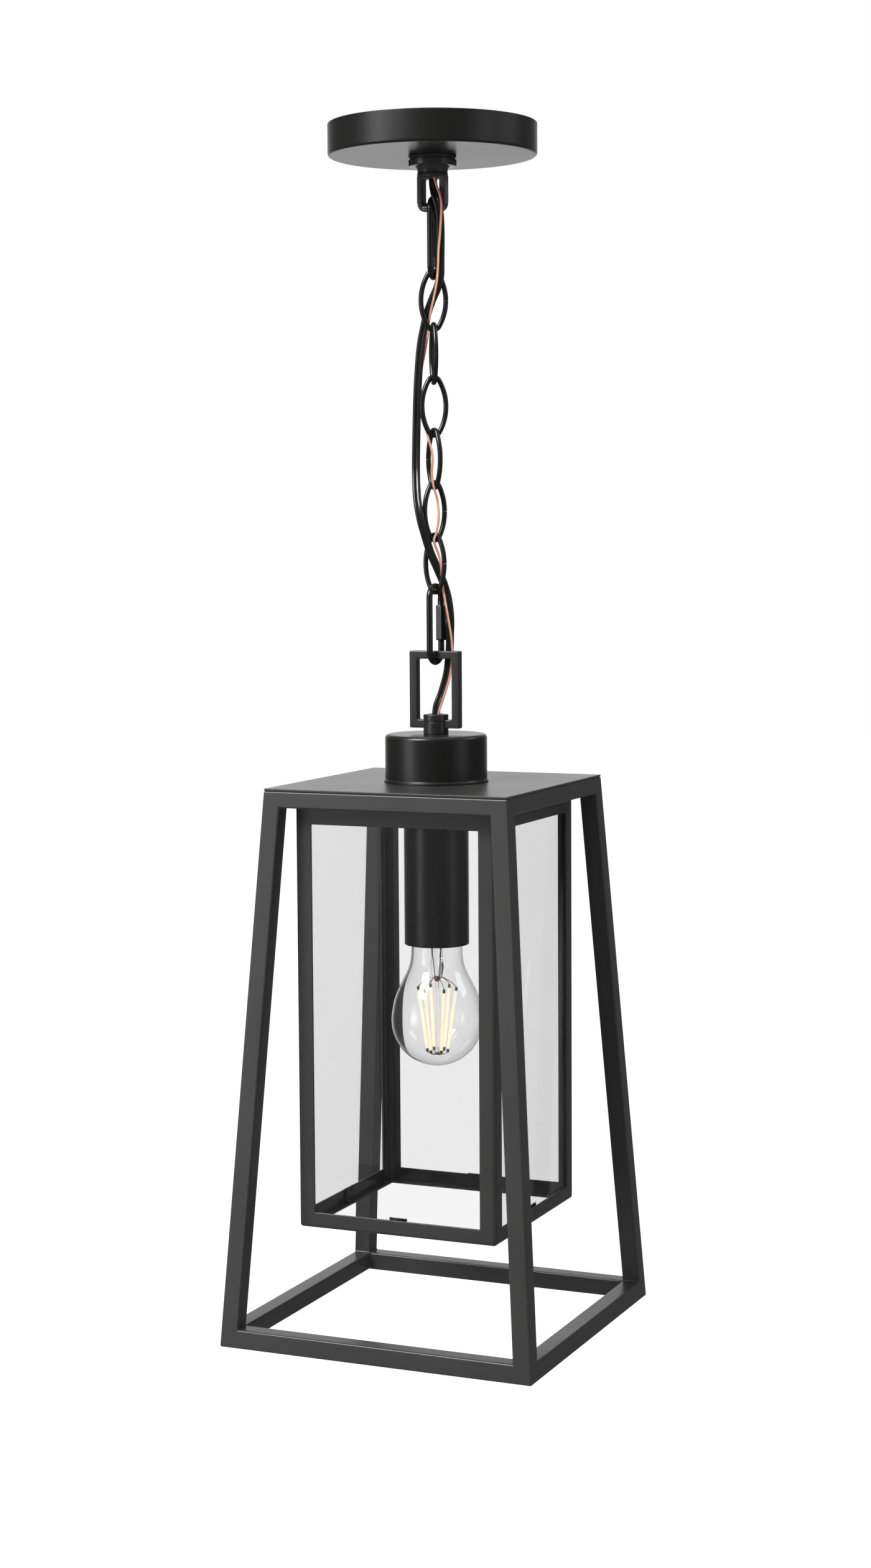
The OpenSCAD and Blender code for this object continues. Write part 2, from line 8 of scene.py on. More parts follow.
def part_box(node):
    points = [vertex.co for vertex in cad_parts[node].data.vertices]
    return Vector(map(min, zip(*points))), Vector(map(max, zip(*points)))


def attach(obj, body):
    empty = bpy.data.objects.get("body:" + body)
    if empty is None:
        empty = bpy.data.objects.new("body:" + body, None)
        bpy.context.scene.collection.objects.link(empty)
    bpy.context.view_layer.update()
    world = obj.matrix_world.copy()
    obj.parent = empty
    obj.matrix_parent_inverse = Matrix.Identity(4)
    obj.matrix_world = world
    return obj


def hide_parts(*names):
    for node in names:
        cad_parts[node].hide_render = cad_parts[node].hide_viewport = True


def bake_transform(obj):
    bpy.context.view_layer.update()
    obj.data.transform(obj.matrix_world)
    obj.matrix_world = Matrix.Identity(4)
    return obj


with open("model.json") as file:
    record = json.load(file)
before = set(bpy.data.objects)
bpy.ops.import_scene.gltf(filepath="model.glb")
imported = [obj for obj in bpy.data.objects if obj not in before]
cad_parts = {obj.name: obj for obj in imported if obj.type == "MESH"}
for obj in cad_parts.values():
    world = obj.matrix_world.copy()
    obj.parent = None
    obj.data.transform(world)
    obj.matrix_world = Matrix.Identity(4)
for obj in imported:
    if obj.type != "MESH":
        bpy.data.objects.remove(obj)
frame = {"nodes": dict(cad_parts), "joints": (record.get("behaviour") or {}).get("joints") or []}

for spare in ("Cube", "Light", "Camera"):
    if spare in bpy.data.objects:
        bpy.data.objects.remove(bpy.data.objects[spare])
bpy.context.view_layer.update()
scene = bpy.context.scene
mm = 0.001

# camera, below the canopy and above the lantern's roof
view = {"place": (0.6885, -1.5832, -0.2612), "yaw": 23.522, "pitch": -5.246, "roll": -0.36, "lens": 61.447}


def aim(yaw, pitch, roll):
    y, p, r = (math.radians(a) for a in (yaw, pitch, roll))
    ahead = Vector((-math.sin(y) * math.cos(p), math.cos(y) * math.cos(p), math.sin(p)))
    side = Vector((math.cos(y), math.sin(y), 0))
    up = side.cross(ahead)
    across, tall = math.cos(r) * side + math.sin(r) * up, math.cos(r) * up - math.sin(r) * side
    return Matrix((across, tall, -ahead)).transposed().to_4x4()


lens = bpy.data.cameras.new("camera")
lens.sensor_width = 36
lens.lens = view["lens"]
lens.clip_start, lens.clip_end = 0.05, 60
camera = bpy.data.objects.new("camera", lens)
camera.matrix_world = Matrix.Translation(view["place"]) @ aim(view["yaw"], view["pitch"], view["roll"])
scene.collection.objects.link(camera)
scene.camera = camera
scene.view_settings.view_transform = "Standard"
print("camera set")


# shader sums as plain expressions: a Wire is one node's output
class Wire:
    def __init__(self, finish, socket):
        self.finish, self.socket = finish, socket

    def sum(self, operation, first, second):
        return self.finish.add("ShaderNodeMath", {"operation": operation}, {0: first, 1: second})

    def __add__(self, other):
        return self.sum("ADD", self, other)

    def __radd__(self, other):
        return self.sum("ADD", other, self)

    def __sub__(self, other):
        return self.sum("SUBTRACT", self, other)

    def __rsub__(self, other):
        return self.sum("SUBTRACT", other, self)

    def __mul__(self, other):
        return self.sum("MULTIPLY", self, other)

    def __rmul__(self, other):
        return self.sum("MULTIPLY", other, self)

    def __pow__(self, other):
        return self.sum("POWER", self, other)

    def atLeast(self, other):
        return self.sum("MAXIMUM", self, other)

    def above(self, edge):
        return self.sum("GREATER_THAN", self, edge)


class Finish:
    def __init__(self, owner):
        self.owner = owner
        owner.use_nodes = True
        self.tree = owner.node_tree
        self.tree.nodes.clear()

    def add(self, kind, settings=None, sockets=None, out=0):
        node = self.tree.nodes.new(kind)
        for key, value in (settings or {}).items():
            if key == "stops":
                ramp = node.color_ramp
                while len(ramp.elements) < len(value):
                    ramp.elements.new(0.5)
                for element, (place, colour) in zip(ramp.elements, value):
                    element.position, element.color = place, (*colour, 1)
            else:
                setattr(node, key, value)
        for key, value in (sockets or {}).items():
            if isinstance(value, Wire):
                self.tree.links.new(value.socket, node.inputs[key])
            else:
                node.inputs[key].default_value = value
        return Wire(self, node.outputs[out]) if len(node.outputs) else None

    def noise(self, scale, detail=2.0, rough=0.5, place=None, stretch=None):
        place = place or self.place()
        if stretch:
            place = self.add("ShaderNodeMapping", {}, {"Vector": place, "Scale": stretch})
        return self.add("ShaderNodeTexNoise", {}, {"Vector": place, "Scale": scale, "Detail": detail,
                                                   "Roughness": rough})

    def place(self):
        return self.add("ShaderNodeTexCoord", {}, {}, 3)

    def blend(self, factor, first, second):
        first, second = ((*tone, 1) if isinstance(tone, tuple) else tone for tone in (first, second))
        return self.add("ShaderNodeMix", {"data_type": "RGBA"}, {0: factor, 6: first, 7: second}, 2)

    def bump(self, height, strength, depth, under=None):
        sockets = {"Height": height, "Strength": strength, "Distance": depth}
        if under:
            sockets["Normal"] = under
        return self.add("ShaderNodeBump", {}, sockets)

    def coat(self, **sockets):
        names = {"colour": "Base Color", "rough": "Roughness", "metal": "Metallic", "normal": "Normal",
                 "through": "Transmission Weight", "index": "IOR", "shine": "Specular IOR Level",
                 "glow": "Emission Color", "glowPower": "Emission Strength"}
        full = {names[k]: (*v, 1) if isinstance(v, tuple) and len(v) == 3 else v
                for k, v in sockets.items()}
        shell = self.add("ShaderNodeBsdfPrincipled", {}, full)
        self.add("ShaderNodeOutputMaterial", {}, {"Surface": shell})
        return self.owner


def paint(name):
    return Finish(bpy.data.materials.new(name))


# satin black powder coat: fine orange peel, soft clouds in the gloss, a few pale dust specks
def powderCoat(name, look):
    f = paint(name)
    cloud = f.noise(16, 3)
    peel = f.noise(950, 2)
    speck = f.noise(640, 1, 0.3).above(0.8)
    tone = look["tone"]
    colour = f.blend(cloud, tuple(c * 0.8 for c in tone), tuple(c * 1.25 for c in tone))
    colour = f.blend(speck * 0.2, colour, (0.07, 0.07, 0.07))
    rough = look["rough"] + (cloud - 0.5) * look["drift"] + (peel - 0.5) * 0.06
    return f.coat(colour=colour, rough=rough, normal=f.bump(peel, look["peel"], 0.00012),
                  shine=look["shine"], index=1.5)


coatBlack = powderCoat("powderCoatBlack", {"tone": (0.026, 0.026, 0.0255), "rough": 0.34, "drift": 0.06,
                                           "peel": 0.05, "shine": 0.5})
roundBlack = powderCoat("roundBlack", {"tone": (0.0065, 0.0065, 0.0062), "rough": 0.32, "drift": 0.06,
                                       "peel": 0.05, "shine": 0.5})
hangerBlack = powderCoat("hangerBlack", {"tone": (0.016, 0.016, 0.016), "rough": 0.28, "drift": 0.06,
                                         "peel": 0.05, "shine": 0.5})
chainBlack = powderCoat("chainBlack", {"tone": (0.006, 0.006, 0.006), "rough": 0.22, "drift": 0.06,
                                       "peel": 0.05, "shine": 0.5})


def bareMetal(name, look):
    f = paint(name)
    cloud = f.noise(22, 3)
    scratch = f.noise(700, 2, 0.6, stretch=(1, 1, 0.06))
    colour = f.blend(cloud, tuple(c * 0.82 for c in look["tone"]), look["tone"])
    rough = look["rough"] + (cloud - 0.5) * 0.12 + (scratch - 0.5) * 0.1
    return f.coat(colour=colour, metal=look.get("metal", 1.0), rough=rough,
                  normal=f.bump(scratch, 0.12, 0.00008))


zincPlate = bareMetal("zincPlate", {"tone": (0.60, 0.61, 0.62), "rough": 0.34})
greenDye = bareMetal("greenDye", {"tone": (0.05, 0.30, 0.10), "rough": 0.30})
shellBrass = bareMetal("shellBrass", {"tone": (0.74, 0.55, 0.25), "rough": 0.26})
capNickel = bareMetal("capNickel", {"tone": (0.68, 0.66, 0.62), "rough": 0.22})
leadWire = bareMetal("leadWire", {"tone": (0.50, 0.47, 0.43), "rough": 0.30})
strandCopper = bareMetal("strandCopper", {"tone": (0.92, 0.52, 0.38), "rough": 0.42, "metal": 0.45})
beadCopper = bareMetal("beadCopper", {"tone": (0.75, 0.36, 0.20), "rough": 0.3})


def flexSheath():
    f = paint("flexSheath")
    grain = f.noise(640, 3, stretch=(1, 1, 0.25))
    cloud = f.noise(60, 2)
    colour = f.blend(cloud, (0.006, 0.006, 0.006), (0.012, 0.012, 0.012))
    return f.coat(colour=colour, rough=0.24 + (grain - 0.5) * 0.10, normal=f.bump(grain, 0.06, 0.0001))


def glazedCeramic():
    f = paint("glazedCeramic")
    cloud = f.noise(70, 3)
    return f.coat(colour=f.blend(cloud, (0.70, 0.67, 0.60), (0.80, 0.78, 0.73)), rough=0.18 + cloud * 0.1,
                  normal=f.bump(f.noise(300, 1), 0.06, 0.0002))


def blackGlass():
    f = paint("blackGlass")
    cloud = f.noise(200, 2)
    return f.coat(colour=f.blend(cloud, (0.006, 0.006, 0.008), (0.018, 0.018, 0.022)),
                  rough=0.08 + cloud * 0.08)


def clearGlass(name, look):
    f = paint(name)
    wave = f.noise(look["waveScale"], 1)
    dust = f.noise(30, 4, 0.6)
    return f.coat(colour=look["tone"], rough=dust * look["haze"], through=1.0, index=look["index"],
                  normal=f.bump(wave, look["wave"], 0.0004))


def glowingStick():
    f = paint("glowingStick")
    grain = f.noise(520, 2)
    colour = f.blend(grain, (1.0, 0.83, 0.60), (1.0, 0.90, 0.74))
    return f.coat(colour=(0.9, 0.6, 0.2), rough=0.5, glow=colour, glowPower=1.1)


flexBlack = flexSheath()
ceramicWhite = glazedCeramic()
insulatorBlack = blackGlass()
paneGlass = clearGlass("paneGlass", {"tone": (0.965, 0.965, 0.97), "haze": 0.006, "wave": 0.02,
                                     "waveScale": 9, "index": 1.45})
bulbClear = clearGlass("bulbClear", {"tone": (0.99, 0.99, 0.99), "haze": 0.004, "wave": 0.05,
                                     "waveScale": 40, "index": 1.45})
stickLight = glowingStick()
print("finishes mixed")


# small builders that the pieces share
def turned(bm, outline, steps=96, closed=True, centre=(0, 0)):
    rings = []
    for radius, height in outline:
        if radius < 1e-5:
            rings.append([bm.verts.new((centre[0] * mm, centre[1] * mm, height * mm))])
        else:
            rings.append([bm.verts.new(((centre[0] + radius * math.cos(math.tau * k / steps)) * mm,
                                        (centre[1] + radius * math.sin(math.tau * k / steps)) * mm,
                                        height * mm)) for k in range(steps)])
    pairs = zip(rings, rings[1:] + rings[:1]) if closed else zip(rings, rings[1:])
    for low, high in pairs:
        for k in range(steps):
            loop = [low[k % len(low)], low[(k + 1) % len(low)], high[(k + 1) % len(high)],
                    high[k % len(high)]]
            corners = list(dict.fromkeys(loop))
            if len(corners) > 2:
                bm.faces.new(corners)
    return [v for ring in rings for v in ring]


# corners of a flat outline replaced by arcs; a third number in a point is its own radius
def rounded(points, radius, steps=4, loop=True):
    result, count = [], len(points)
    for k, point in enumerate(points):
        own = point[2] if len(point) > 2 else radius
        here = Vector(point[:2])
        before, after = Vector(points[k - 1][:2]) - here, Vector(points[(k + 1) % count][:2]) - here
        bend = before.angle(after) if before.length and after.length else math.pi
        if own <= 0 or bend > 3.1 or (not loop and k in (0, count - 1)):
            result.append(tuple(here))
            continue
        reach = min(own / math.tan(bend / 2), before.length * 0.49, after.length * 0.49)
        own = reach * math.tan(bend / 2)
        centre = here + (before.normalized() + after.normalized()).normalized() * own / math.sin(bend / 2)
        start, end = here + before.normalized() * reach - centre, here + after.normalized() * reach - centre
        turn = start.angle_signed(end)
        for i in range(steps + 1):
            a = -turn * i / steps
            result.append((centre.x + start.x * math.cos(a) - start.y * math.sin(a),
                           centre.y + start.x * math.sin(a) + start.y * math.cos(a)))
    return result


# quads between neighbouring rings; around joins the last ring to the first
def bridged(bm, rings, around=False):
    for low, high in zip(rings, rings[1:] + rings[:1] if around else rings[1:]):
        for k in range(len(low)):
            m = (k + 1) % len(low)
            bm.faces.new((low[k], low[m], high[m], high[k]))


def capped(bm, rings):
    bridged(bm, rings)
    bm.faces.new(rings[0])
    bm.faces.new(rings[-1])


def aheadAt(path, k):
    return (path[min(len(path) - 1, k + 1)] - path[max(0, k - 1)]).normalized()


# a flat outline swept along a line of points; across is the outline's first direction
def swept(bm, path, outline, across):
    rings = []
    for k, spot in enumerate(path):
        ahead = aheadAt(path, k)
        first = (across - ahead * across.dot(ahead)).normalized()
        second = ahead.cross(first)
        rings.append([bm.verts.new(spot + first * u + second * v) for u, v in outline])
    capped(bm, rings)


# a point on the smooth curve through the spots, some share of the way from spot i to the next
def onCurve(spots, i, share):
    a, b, c, d = spots[max(0, i - 1)], spots[i], spots[i + 1], spots[min(len(spots) - 1, i + 2)]
    return 0.5 * (2 * b + (c - a) * share + (2 * a - 5 * b + 4 * c - d) * share * share
                  + (3 * b - a - 3 * c + d) * share ** 3)


def block(bm, low, high, turnTo=None):
    corners = [Vector((x, y, z)) * mm for z in (low[2], high[2]) for y in (low[1], high[1])
               for x in (low[0], high[0])]
    v = [bm.verts.new(turnTo @ c if turnTo else c) for c in corners]
    for f in ((0, 2, 3, 1), (4, 5, 7, 6), (0, 1, 5, 4), (2, 6, 7, 3), (0, 4, 6, 2), (1, 3, 7, 5)):
        bm.faces.new([v[i] for i in f])


def soften(bm, width, segments=2, pick=None, angle=35):
    bmesh.ops.recalc_face_normals(bm, faces=bm.faces)
    edges = [e for e in bm.edges if len(e.link_faces) == 2 and e.calc_face_angle(0) > math.radians(angle)
             and (pick is None or pick(*(v.co / mm for v in e.verts)))]
    bmesh.ops.bevel(bm, geom=edges, offset=width * mm, offset_type="OFFSET", segments=segments, profile=0.5,
                    affect="EDGES", clamp_overlap=True)


def finished(name, bm, finish, body, nodes=(), sharp=40, even=True):
    bmesh.ops.recalc_face_normals(bm, faces=bm.faces)
    for edge in bm.edges:
        edge.smooth = len(edge.link_faces) == 2 and edge.calc_face_angle(0) < math.radians(sharp)
    for face in bm.faces:
        face.smooth = True
    mesh = bpy.data.meshes.new(name)
    bm.to_mesh(mesh)
    bm.free()
    if finish:
        mesh.materials.append(finish)
    piece = bpy.data.objects.new(name, mesh)
    scene.collection.objects.link(piece)
    if even:
        flat = piece.modifiers.new("evenNormals", "WEIGHTED_NORMAL")
        flat.keep_sharp = True
    if body:
        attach(piece, body)
    if nodes:
        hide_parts(*nodes)
    return piece


def turnedPiece(name, outline, steps, finish, body, node, arcs=3):
    bm = bmesh.new()
    turned(bm, rounded(outline, 0, arcs), steps)
    finished(name, bm, finish, body, [node], sharp=50)


# cords: twin flex and bare ground wire, from the canopy's pipe down through the chain into the stem
flexRoute = [
    (0, 0, -4), (0, 0, -20), (0, 0, -30), (0.2, 0.9, -34), (0.4, 3.6, -39), (1.4, 7.6, -45),
    (3.2, 9.2, -51), (4.4, 9.2, -58), (4.8, 8, -70), (4.6, 6.4, -86), (4.4, 5.2, -95), (2.8, 3.2, -102),
    (-0.8, -0.6, -110), (-3.8, -3.6, -118), (-5.6, -5, -125), (-8.4, -5, -140), (-10.4, -4.6, -165),
    (-11.4, -4, -195), (-11.8, -1.6, -217), (-11.4, 3.4, -233), (-10.2, 6.6, -243), (-8.6, 7.8, -251),
    (-5.8, 6, -261), (-3, 2.6, -270), (0.6, 0.6, -278.5), (3.4, -1.2, -285), (5.8, -1.8, -291),
    (8.2, -0.6, -300), (9.6, -0.2, -312), (9.4, -1.6, -323), (9.2, -3, -331), (8.4, -3, -341),
    (7, -2.6, -350), (3.8, -1.8, -361), (0.8, -0.8, -369), (0, -0.4, -376), (0, 0, -384), (0, 0, -430),
    (0, 0, -486),
]
groundRoute = [
    (0, 2.4, -4), (0, 2.4, -20), (0.2, 2.5, -30), (1.4, 4.4, -35), (2.6, 7, -39.5), (4.4, 10.4, -45),
    (5.4, 11.8, -52), (4.6, 10.6, -67), (3.4, 9, -80), (3, 7.8, -90), (2.2, 6.2, -99), (0.2, 2.6, -109),
    (-2.2, -1.6, -119), (-3, -2.8, -124), (-3.4, -3.6, -130), (-5.2, -7.6, -140), (-8, -8, -155),
    (-9.6, -7.6, -175), (-7.6, -6.2, -184), (-5.8, -3.4, -191), (-4.2, -0.8, -196), (-1.2, 0.4, -208),
    (-1.6, 3.4, -220), (-0.6, 4.2, -228), (2, 1.4, -238), (2.6, 2.2, -248), (1.2, 4.6, -257),
    (-0.6, 4.8, -263), (2.4, 2.6, -272), (4, 2, -280), (4.2, 1, -286), (4.8, 0.6, -292), (7, 2.4, -305),
    (9.8, 1.2, -322), (10.6, -0.2, -331), (10.4, -0.2, -341), (8.8, 0, -351), (5.6, 0.8, -362),
    (2.4, 1.8, -371), (0.8, 2.4, -378), (0, 2.5, -386), (0, 2.5, -430), (0, 2.5, -486),
]
chainBodies = ["ceiling_set", "top_link", "link_1", "link_2", "link_3", "link_4", "link_5", "link_6",
               "bottom_link", "lantern"]
hingeHeights = [j["pos_m"][2] for j in sorted((j for j in frame["joints"] if j["name"].endswith("_swing")),
                                              key=lambda j: -j["pos_m"][2])]
bendReach = 0.013  # above and below a hinge
cutHeights = [-0.074, -0.112, -0.1454, -0.1788, -0.2122, -0.2456, -0.279, -0.318]
layout = math.radians(23.7)
sideways = Vector((math.cos(layout), math.sin(layout), 0))
forward = Vector((math.sin(layout), -math.cos(layout), 0))


# a smooth line through the route, with its points an even distance apart
def smoothLine(points, spacing):
    spots = [x * mm * sideways + y * mm * forward + Vector((0, 0, z * mm)) for x, y, z in points]
    parts = 60
    fine = [onCurve(spots, i, k / parts) for i in range(len(spots) - 1) for k in range(parts)] + [spots[-1]]
    line, walked, due = [fine[0]], 0.0, spacing
    for p, q in zip(fine, fine[1:]):
        step = (q - p).length
        while walked + step >= due:
            line.append(p.lerp(q, (due - walked) / step))
            due += spacing
        walked += step
    return line


def lineLength(line):
    return sum((q - p).length for p, q in zip(line, line[1:]))


# a cord is cut halfway between two hinges, so each stretch spans one hinge only
def hangCord(cord):
    line = smoothLine(cord["route"], cord["spacing"])
    cuts = [0] + [next(i for i, p in enumerate(line) if p.z < z) for z in cutHeights] + [len(line) - 1]
    travelled = [0.0]
    for p, q in zip(line, line[1:]):
        travelled.append(travelled[-1] + (q - p).length)
    total = 0
    for k, (low, high) in enumerate(zip(cuts, cuts[1:])):
        stretch = line[low:high + 1]
        bm = bmesh.new()
        # frames come from the whole line, so two stretches meet without a step
        rings = []
        for i in range(low, high + 1):
            ahead = aheadAt(line, i)
            first = (sideways - ahead * sideways.dot(ahead)).normalized()
            second = ahead.cross(first)
            a = travelled[i] / cord["lay"] * math.tau if cord["lay"] else 0
            first, second = (first * math.cos(a) + second * math.sin(a),
                             second * math.cos(a) - first * math.sin(a))
            rings.append([bm.verts.new(line[i] + first * u + second * v) for u, v in cord["section"]])
        capped(bm, rings)
        piece = finished(f"{cord['name']}{k + 1}", bm, cord["finish"], None, sharp=70, even=False)
        if k == 0:
            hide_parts(cord["node"])
        hinge = hingeHeights[k]
        chainBodies[k + 1]
        hinge + bendReach
        hinge - bendReach
        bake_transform(piece)
        length = lineLength(stretch)
        total += length
    print(cord["name"], "length", round(total, 3))


def twinSection(offset, radius, valley, steps=9):
    half = [(offset + radius * math.cos(a), radius * math.sin(a))
            for a in (math.radians(-valley + 2 * valley * k / steps) for k in range(steps + 1))]
    return [(x * mm, y * mm) for x, y in half + [(-x, -y) for x, y in half]]


def strandSection(radius, dip, lobes=7, steps=28):
    section = []
    for k in range(steps):
        a = math.tau * k / steps
        reach = radius - dip * (1 - abs(math.cos(lobes * math.pi * k / steps)))
        section.append((reach * math.cos(a) * mm, reach * math.sin(a) * mm))
    return section


flex = {"name": "supplyFlex", "node": "supply_cord", "slot": "black_flex", "route": flexRoute,
        "spacing": 0.001, "lay": 0, "section": twinSection(1.33, 1.34, 142), "finish": flexBlack,
        "width": 0.0054, "stiffness": "medium"}
bare = {"name": "groundStrand", "node": "ground_wire", "slot": "bare_copper", "route": groundRoute,
        "spacing": 0.0004, "lay": 0.006, "section": strandSection(0.78, 0.28), "finish": strandCopper,
        "width": 0.0015, "stiffness": "medium"}
hangCord(flex)
hangCord(bare)
print("cords hung")


# ceiling set
canopyCap = {"radius": 66.5, "height": 20, "wall": 1.2, "hole": 5.2, "rim": 1.6}
radius, face, wall = canopyCap["radius"], -canopyCap["height"], canopyCap["wall"]
turnedPiece("canopyCap", [(canopyCap["hole"], face), (radius, face, canopyCap["rim"]), (radius, 0, 0.4),
                          (radius - wall, 0, 0.4), (radius - wall, face + wall, 0.6),
                          (canopyCap["hole"], face + wall)], 160, roundBlack, "ceiling_set", "canopy",
            arcs=6)

barPlate = {"half": 52, "width": 8, "thick": 2.4, "pitch": 44.45, "slot": 12, "slotWidth": 4.8, "hole": 5,
            "screwAt": 22}
bm = bmesh.new()


# holes in a plate: outlines filled together, then thickened
def cutPlate(bm, outlines, low, high):
    edges = []
    for outline in outlines:
        loop = [bm.verts.new((x * mm, y * mm, low * mm)) for x, y in outline]
        edges += [bm.edges.new((loop[k], loop[(k + 1) % len(loop)])) for k in range(len(loop))]
    made = bmesh.ops.triangle_fill(bm, use_beauty=True, use_dissolve=True, edges=edges)
    faces = [g for g in made["geom"] if isinstance(g, bmesh.types.BMFace)]
    raised = bmesh.ops.extrude_face_region(bm, geom=faces)
    top = [g for g in raised["geom"] if isinstance(g, bmesh.types.BMVert)]
    bmesh.ops.translate(bm, verts=top, vec=(0, 0, (high - low) * mm))


# two upright outlines, one inside the other, joined into a ring that is deep to the front and back
def windowRing(bm, outer, inner, deep):
    sheets = ((-deep, outer), (deep, outer), (deep, inner), (-deep, inner))
    rings = [[bm.verts.new((x * mm, y * mm, z * mm)) for x, z in line] for y, line in sheets]
    bridged(bm, rings, around=True)


def onFace(corner, deep):
    return abs(abs(corner.y) - deep) < 0.01


def rect(half, low, high):
    return [(-half, low), (half, low), (half, high), (-half, high)]


def circle(radius, centre=(0, 0), steps=32):
    return [(centre[0] + radius * math.cos(math.tau * k / steps),
             centre[1] + radius * math.sin(math.tau * k / steps)) for k in range(steps)]


def stadium(length, width, centre):
    r, reach = width / 2, (length - width) / 2
    return [(centre[0] + reach * (1 if math.cos(a) > 0 else -1) + r * math.cos(a),
             centre[1] + r * math.sin(a)) for a in (math.tau * (k + 0.5) / 24 for k in range(24))]


strip = rounded(rect(barPlate["half"], -barPlate["width"], barPlate["width"]), 2.5, 5)
slots = [stadium(barPlate["slot"], barPlate["slotWidth"], (x, 0))
         for x in (barPlate["pitch"], -barPlate["pitch"])]
cutPlate(bm, [strip, circle(barPlate["hole"]), circle(2, (barPlate["screwAt"], 0), 16)] + slots,
         -barPlate["thick"], 0)
soften(bm, 0.25)
finished("barPlate", bm, zincPlate, "ceiling_set", ["crossbar"])

groundScrew = {"at": 22, "head": 3, "tip": 1.6, "plate": 2.4}
bm = bmesh.new()
low = -groundScrew["plate"] - groundScrew["head"]
turned(bm, [(0, low + 0.7), (1.6, low + 0.7), (1.6, low + 0.1), (3.4, low), (4.4, low + 0.5),
            (4.4, -groundScrew["plate"]), (2, -groundScrew["plate"]), (2, groundScrew["tip"] - 0.4),
            (1.6, groundScrew["tip"]), (0, groundScrew["tip"])], 6, centre=(groundScrew["at"], 0))
soften(bm, 0.15)
finished("groundScrew", bm, greenDye, "ceiling_set", ["ground_screw"])


# a threaded wall: ridges of one pitch between two heights
def thread(radius, low, high, pitch, depth):
    count = int((high - low) / pitch)
    step = (high - low) / count
    line = []
    for k in range(count):
        z = low + k * step
        line += [(radius - depth, z + step * 0.05), (radius, z + step * 0.45), (radius, z + step * 0.6)]
    return line + [(radius - depth, high)]


pipe = {"radius": 5, "bore": 4, "low": -29, "high": -1}
bm = bmesh.new()
turned(bm, [(pipe["bore"], pipe["high"]), (pipe["bore"], pipe["low"])]
       + thread(pipe["radius"], pipe["low"], pipe["high"], 1.0, 0.35), 40)
finished("canopyPipe", bm, zincPlate, "ceiling_set", ["canopy_nipple"])

nut = {"radius": 8, "bore": 5.9, "chamfer": 0.6}


def hexNut(bm, low, high):
    cut, radius = nut["chamfer"], nut["radius"]
    rows = [(nut["bore"], low), (radius - cut, low), (radius, low + cut * 0.6), (radius, high - cut * 0.6),
            (radius - cut, high), (nut["bore"], high)]
    turns = [math.tau * k / 6 for k in range(6)]
    rings = [[bm.verts.new((reach * math.cos(a) * mm, reach * math.sin(a) * mm, z * mm)) for a in turns]
             for reach, z in rows]
    bridged(bm, rings, around=True)


bm = bmesh.new()
hexNut(bm, -6.4, -2.4)
soften(bm, 0.2)
finished("pipeNut", bm, zincPlate, "ceiling_set", ["nipple_nut"])

# canopy loop: turned neck with a thread run-out, and a stirrup that has a rounded saddle
loopForm = {"neck": 10.8, "bore": 5, "top": -20, "half": 9.3, "depth": 3.6, "foot": -54.8, "corner": 5,
            "slotHalf": 5.8, "slotTop": -34.4, "seat": -49}
half, deep, foot, bend = loopForm["half"], loopForm["depth"], loopForm["foot"], loopForm["corner"]
neck, bore, top = loopForm["neck"], loopForm["bore"], loopForm["top"]
bm = bmesh.new()
turned(bm, rounded([(bore, top), (neck, top, 0.3), (neck, -27, 0.3), (10.4, -27.3, 0.3), (9.75, -28.8, 1),
                    (9.55, -30, 1), (9.75, -31.4, 0.6), (9.95, -32.3, 0.4), (9.6, -32.9, 0.3),
                    (bore, -32.9)], 0, 3), 72)
outer = rounded([(-half, -32.2, 0.6), (-half, foot, bend), (half, foot, bend), (half, -32.2, 0.6)], 0, 7)
slot, roof, bed = loopForm["slotHalf"], loopForm["slotTop"], loopForm["seat"] - deep - 0.01
inner = rounded([(-slot, roof, 0.9), (-slot, bed, 0.5), (slot, bed, 0.5), (slot, roof, 0.9)], 0, 7)
windowRing(bm, outer, inner, deep)
soften(bm, 0.75, 3, lambda p, q: onFace(p, deep) and onFace(q, deep) and p.z < -33.5 and q.z < -33.5)
saddle = [(math.cos(a) * deep * mm, (loopForm["seat"] - deep + math.sin(a) * deep - 0.02) * mm)
          for a in (math.pi * k / 12 for k in range(13))]
swept(bm, [Vector((-5.9, 0, 0)) * mm, Vector((5.9, 0, 0)) * mm], saddle, Vector((0, 1, 0)))
finished("canopyLoop", bm, hangerBlack, "ceiling_set", ["canopy_loop"], sharp=50)

# collar ring: fine knurl under a plain groove
collar = {"radius": 15.2, "bore": 10.95, "high": -20, "low": -26.5, "teeth": 88, "toothDepth": 0.28}
bm = bmesh.new()
radius, high, low = collar["radius"], collar["high"], collar["low"]
profile = [(collar["bore"], high), (radius - 0.3, high), (radius, high - 0.3), (radius, high - 1.4),
           (radius - 0.8, high - 1.7), (radius - 0.8, high - 2.2), (radius, high - 2.5),
           (radius, low + 0.5), (radius - 0.5, low), (collar["bore"], low)]
turned(bm, profile, collar["teeth"] * 2)
for v in bm.verts:
    flat = Vector((v.co.x, v.co.y, 0))
    k = round(math.atan2(v.co.y, v.co.x) / math.tau * collar["teeth"] * 2)
    if flat.length > (radius - 0.05) * mm and v.co.z < (high - 2.4) * mm and k % 2:
        v.co -= flat.normalized() * collar["toothDepth"] * mm
finished("collarRing", bm, hangerBlack, "collar_ring", ["collar_ring"], sharp=60)
print("ceiling set built")


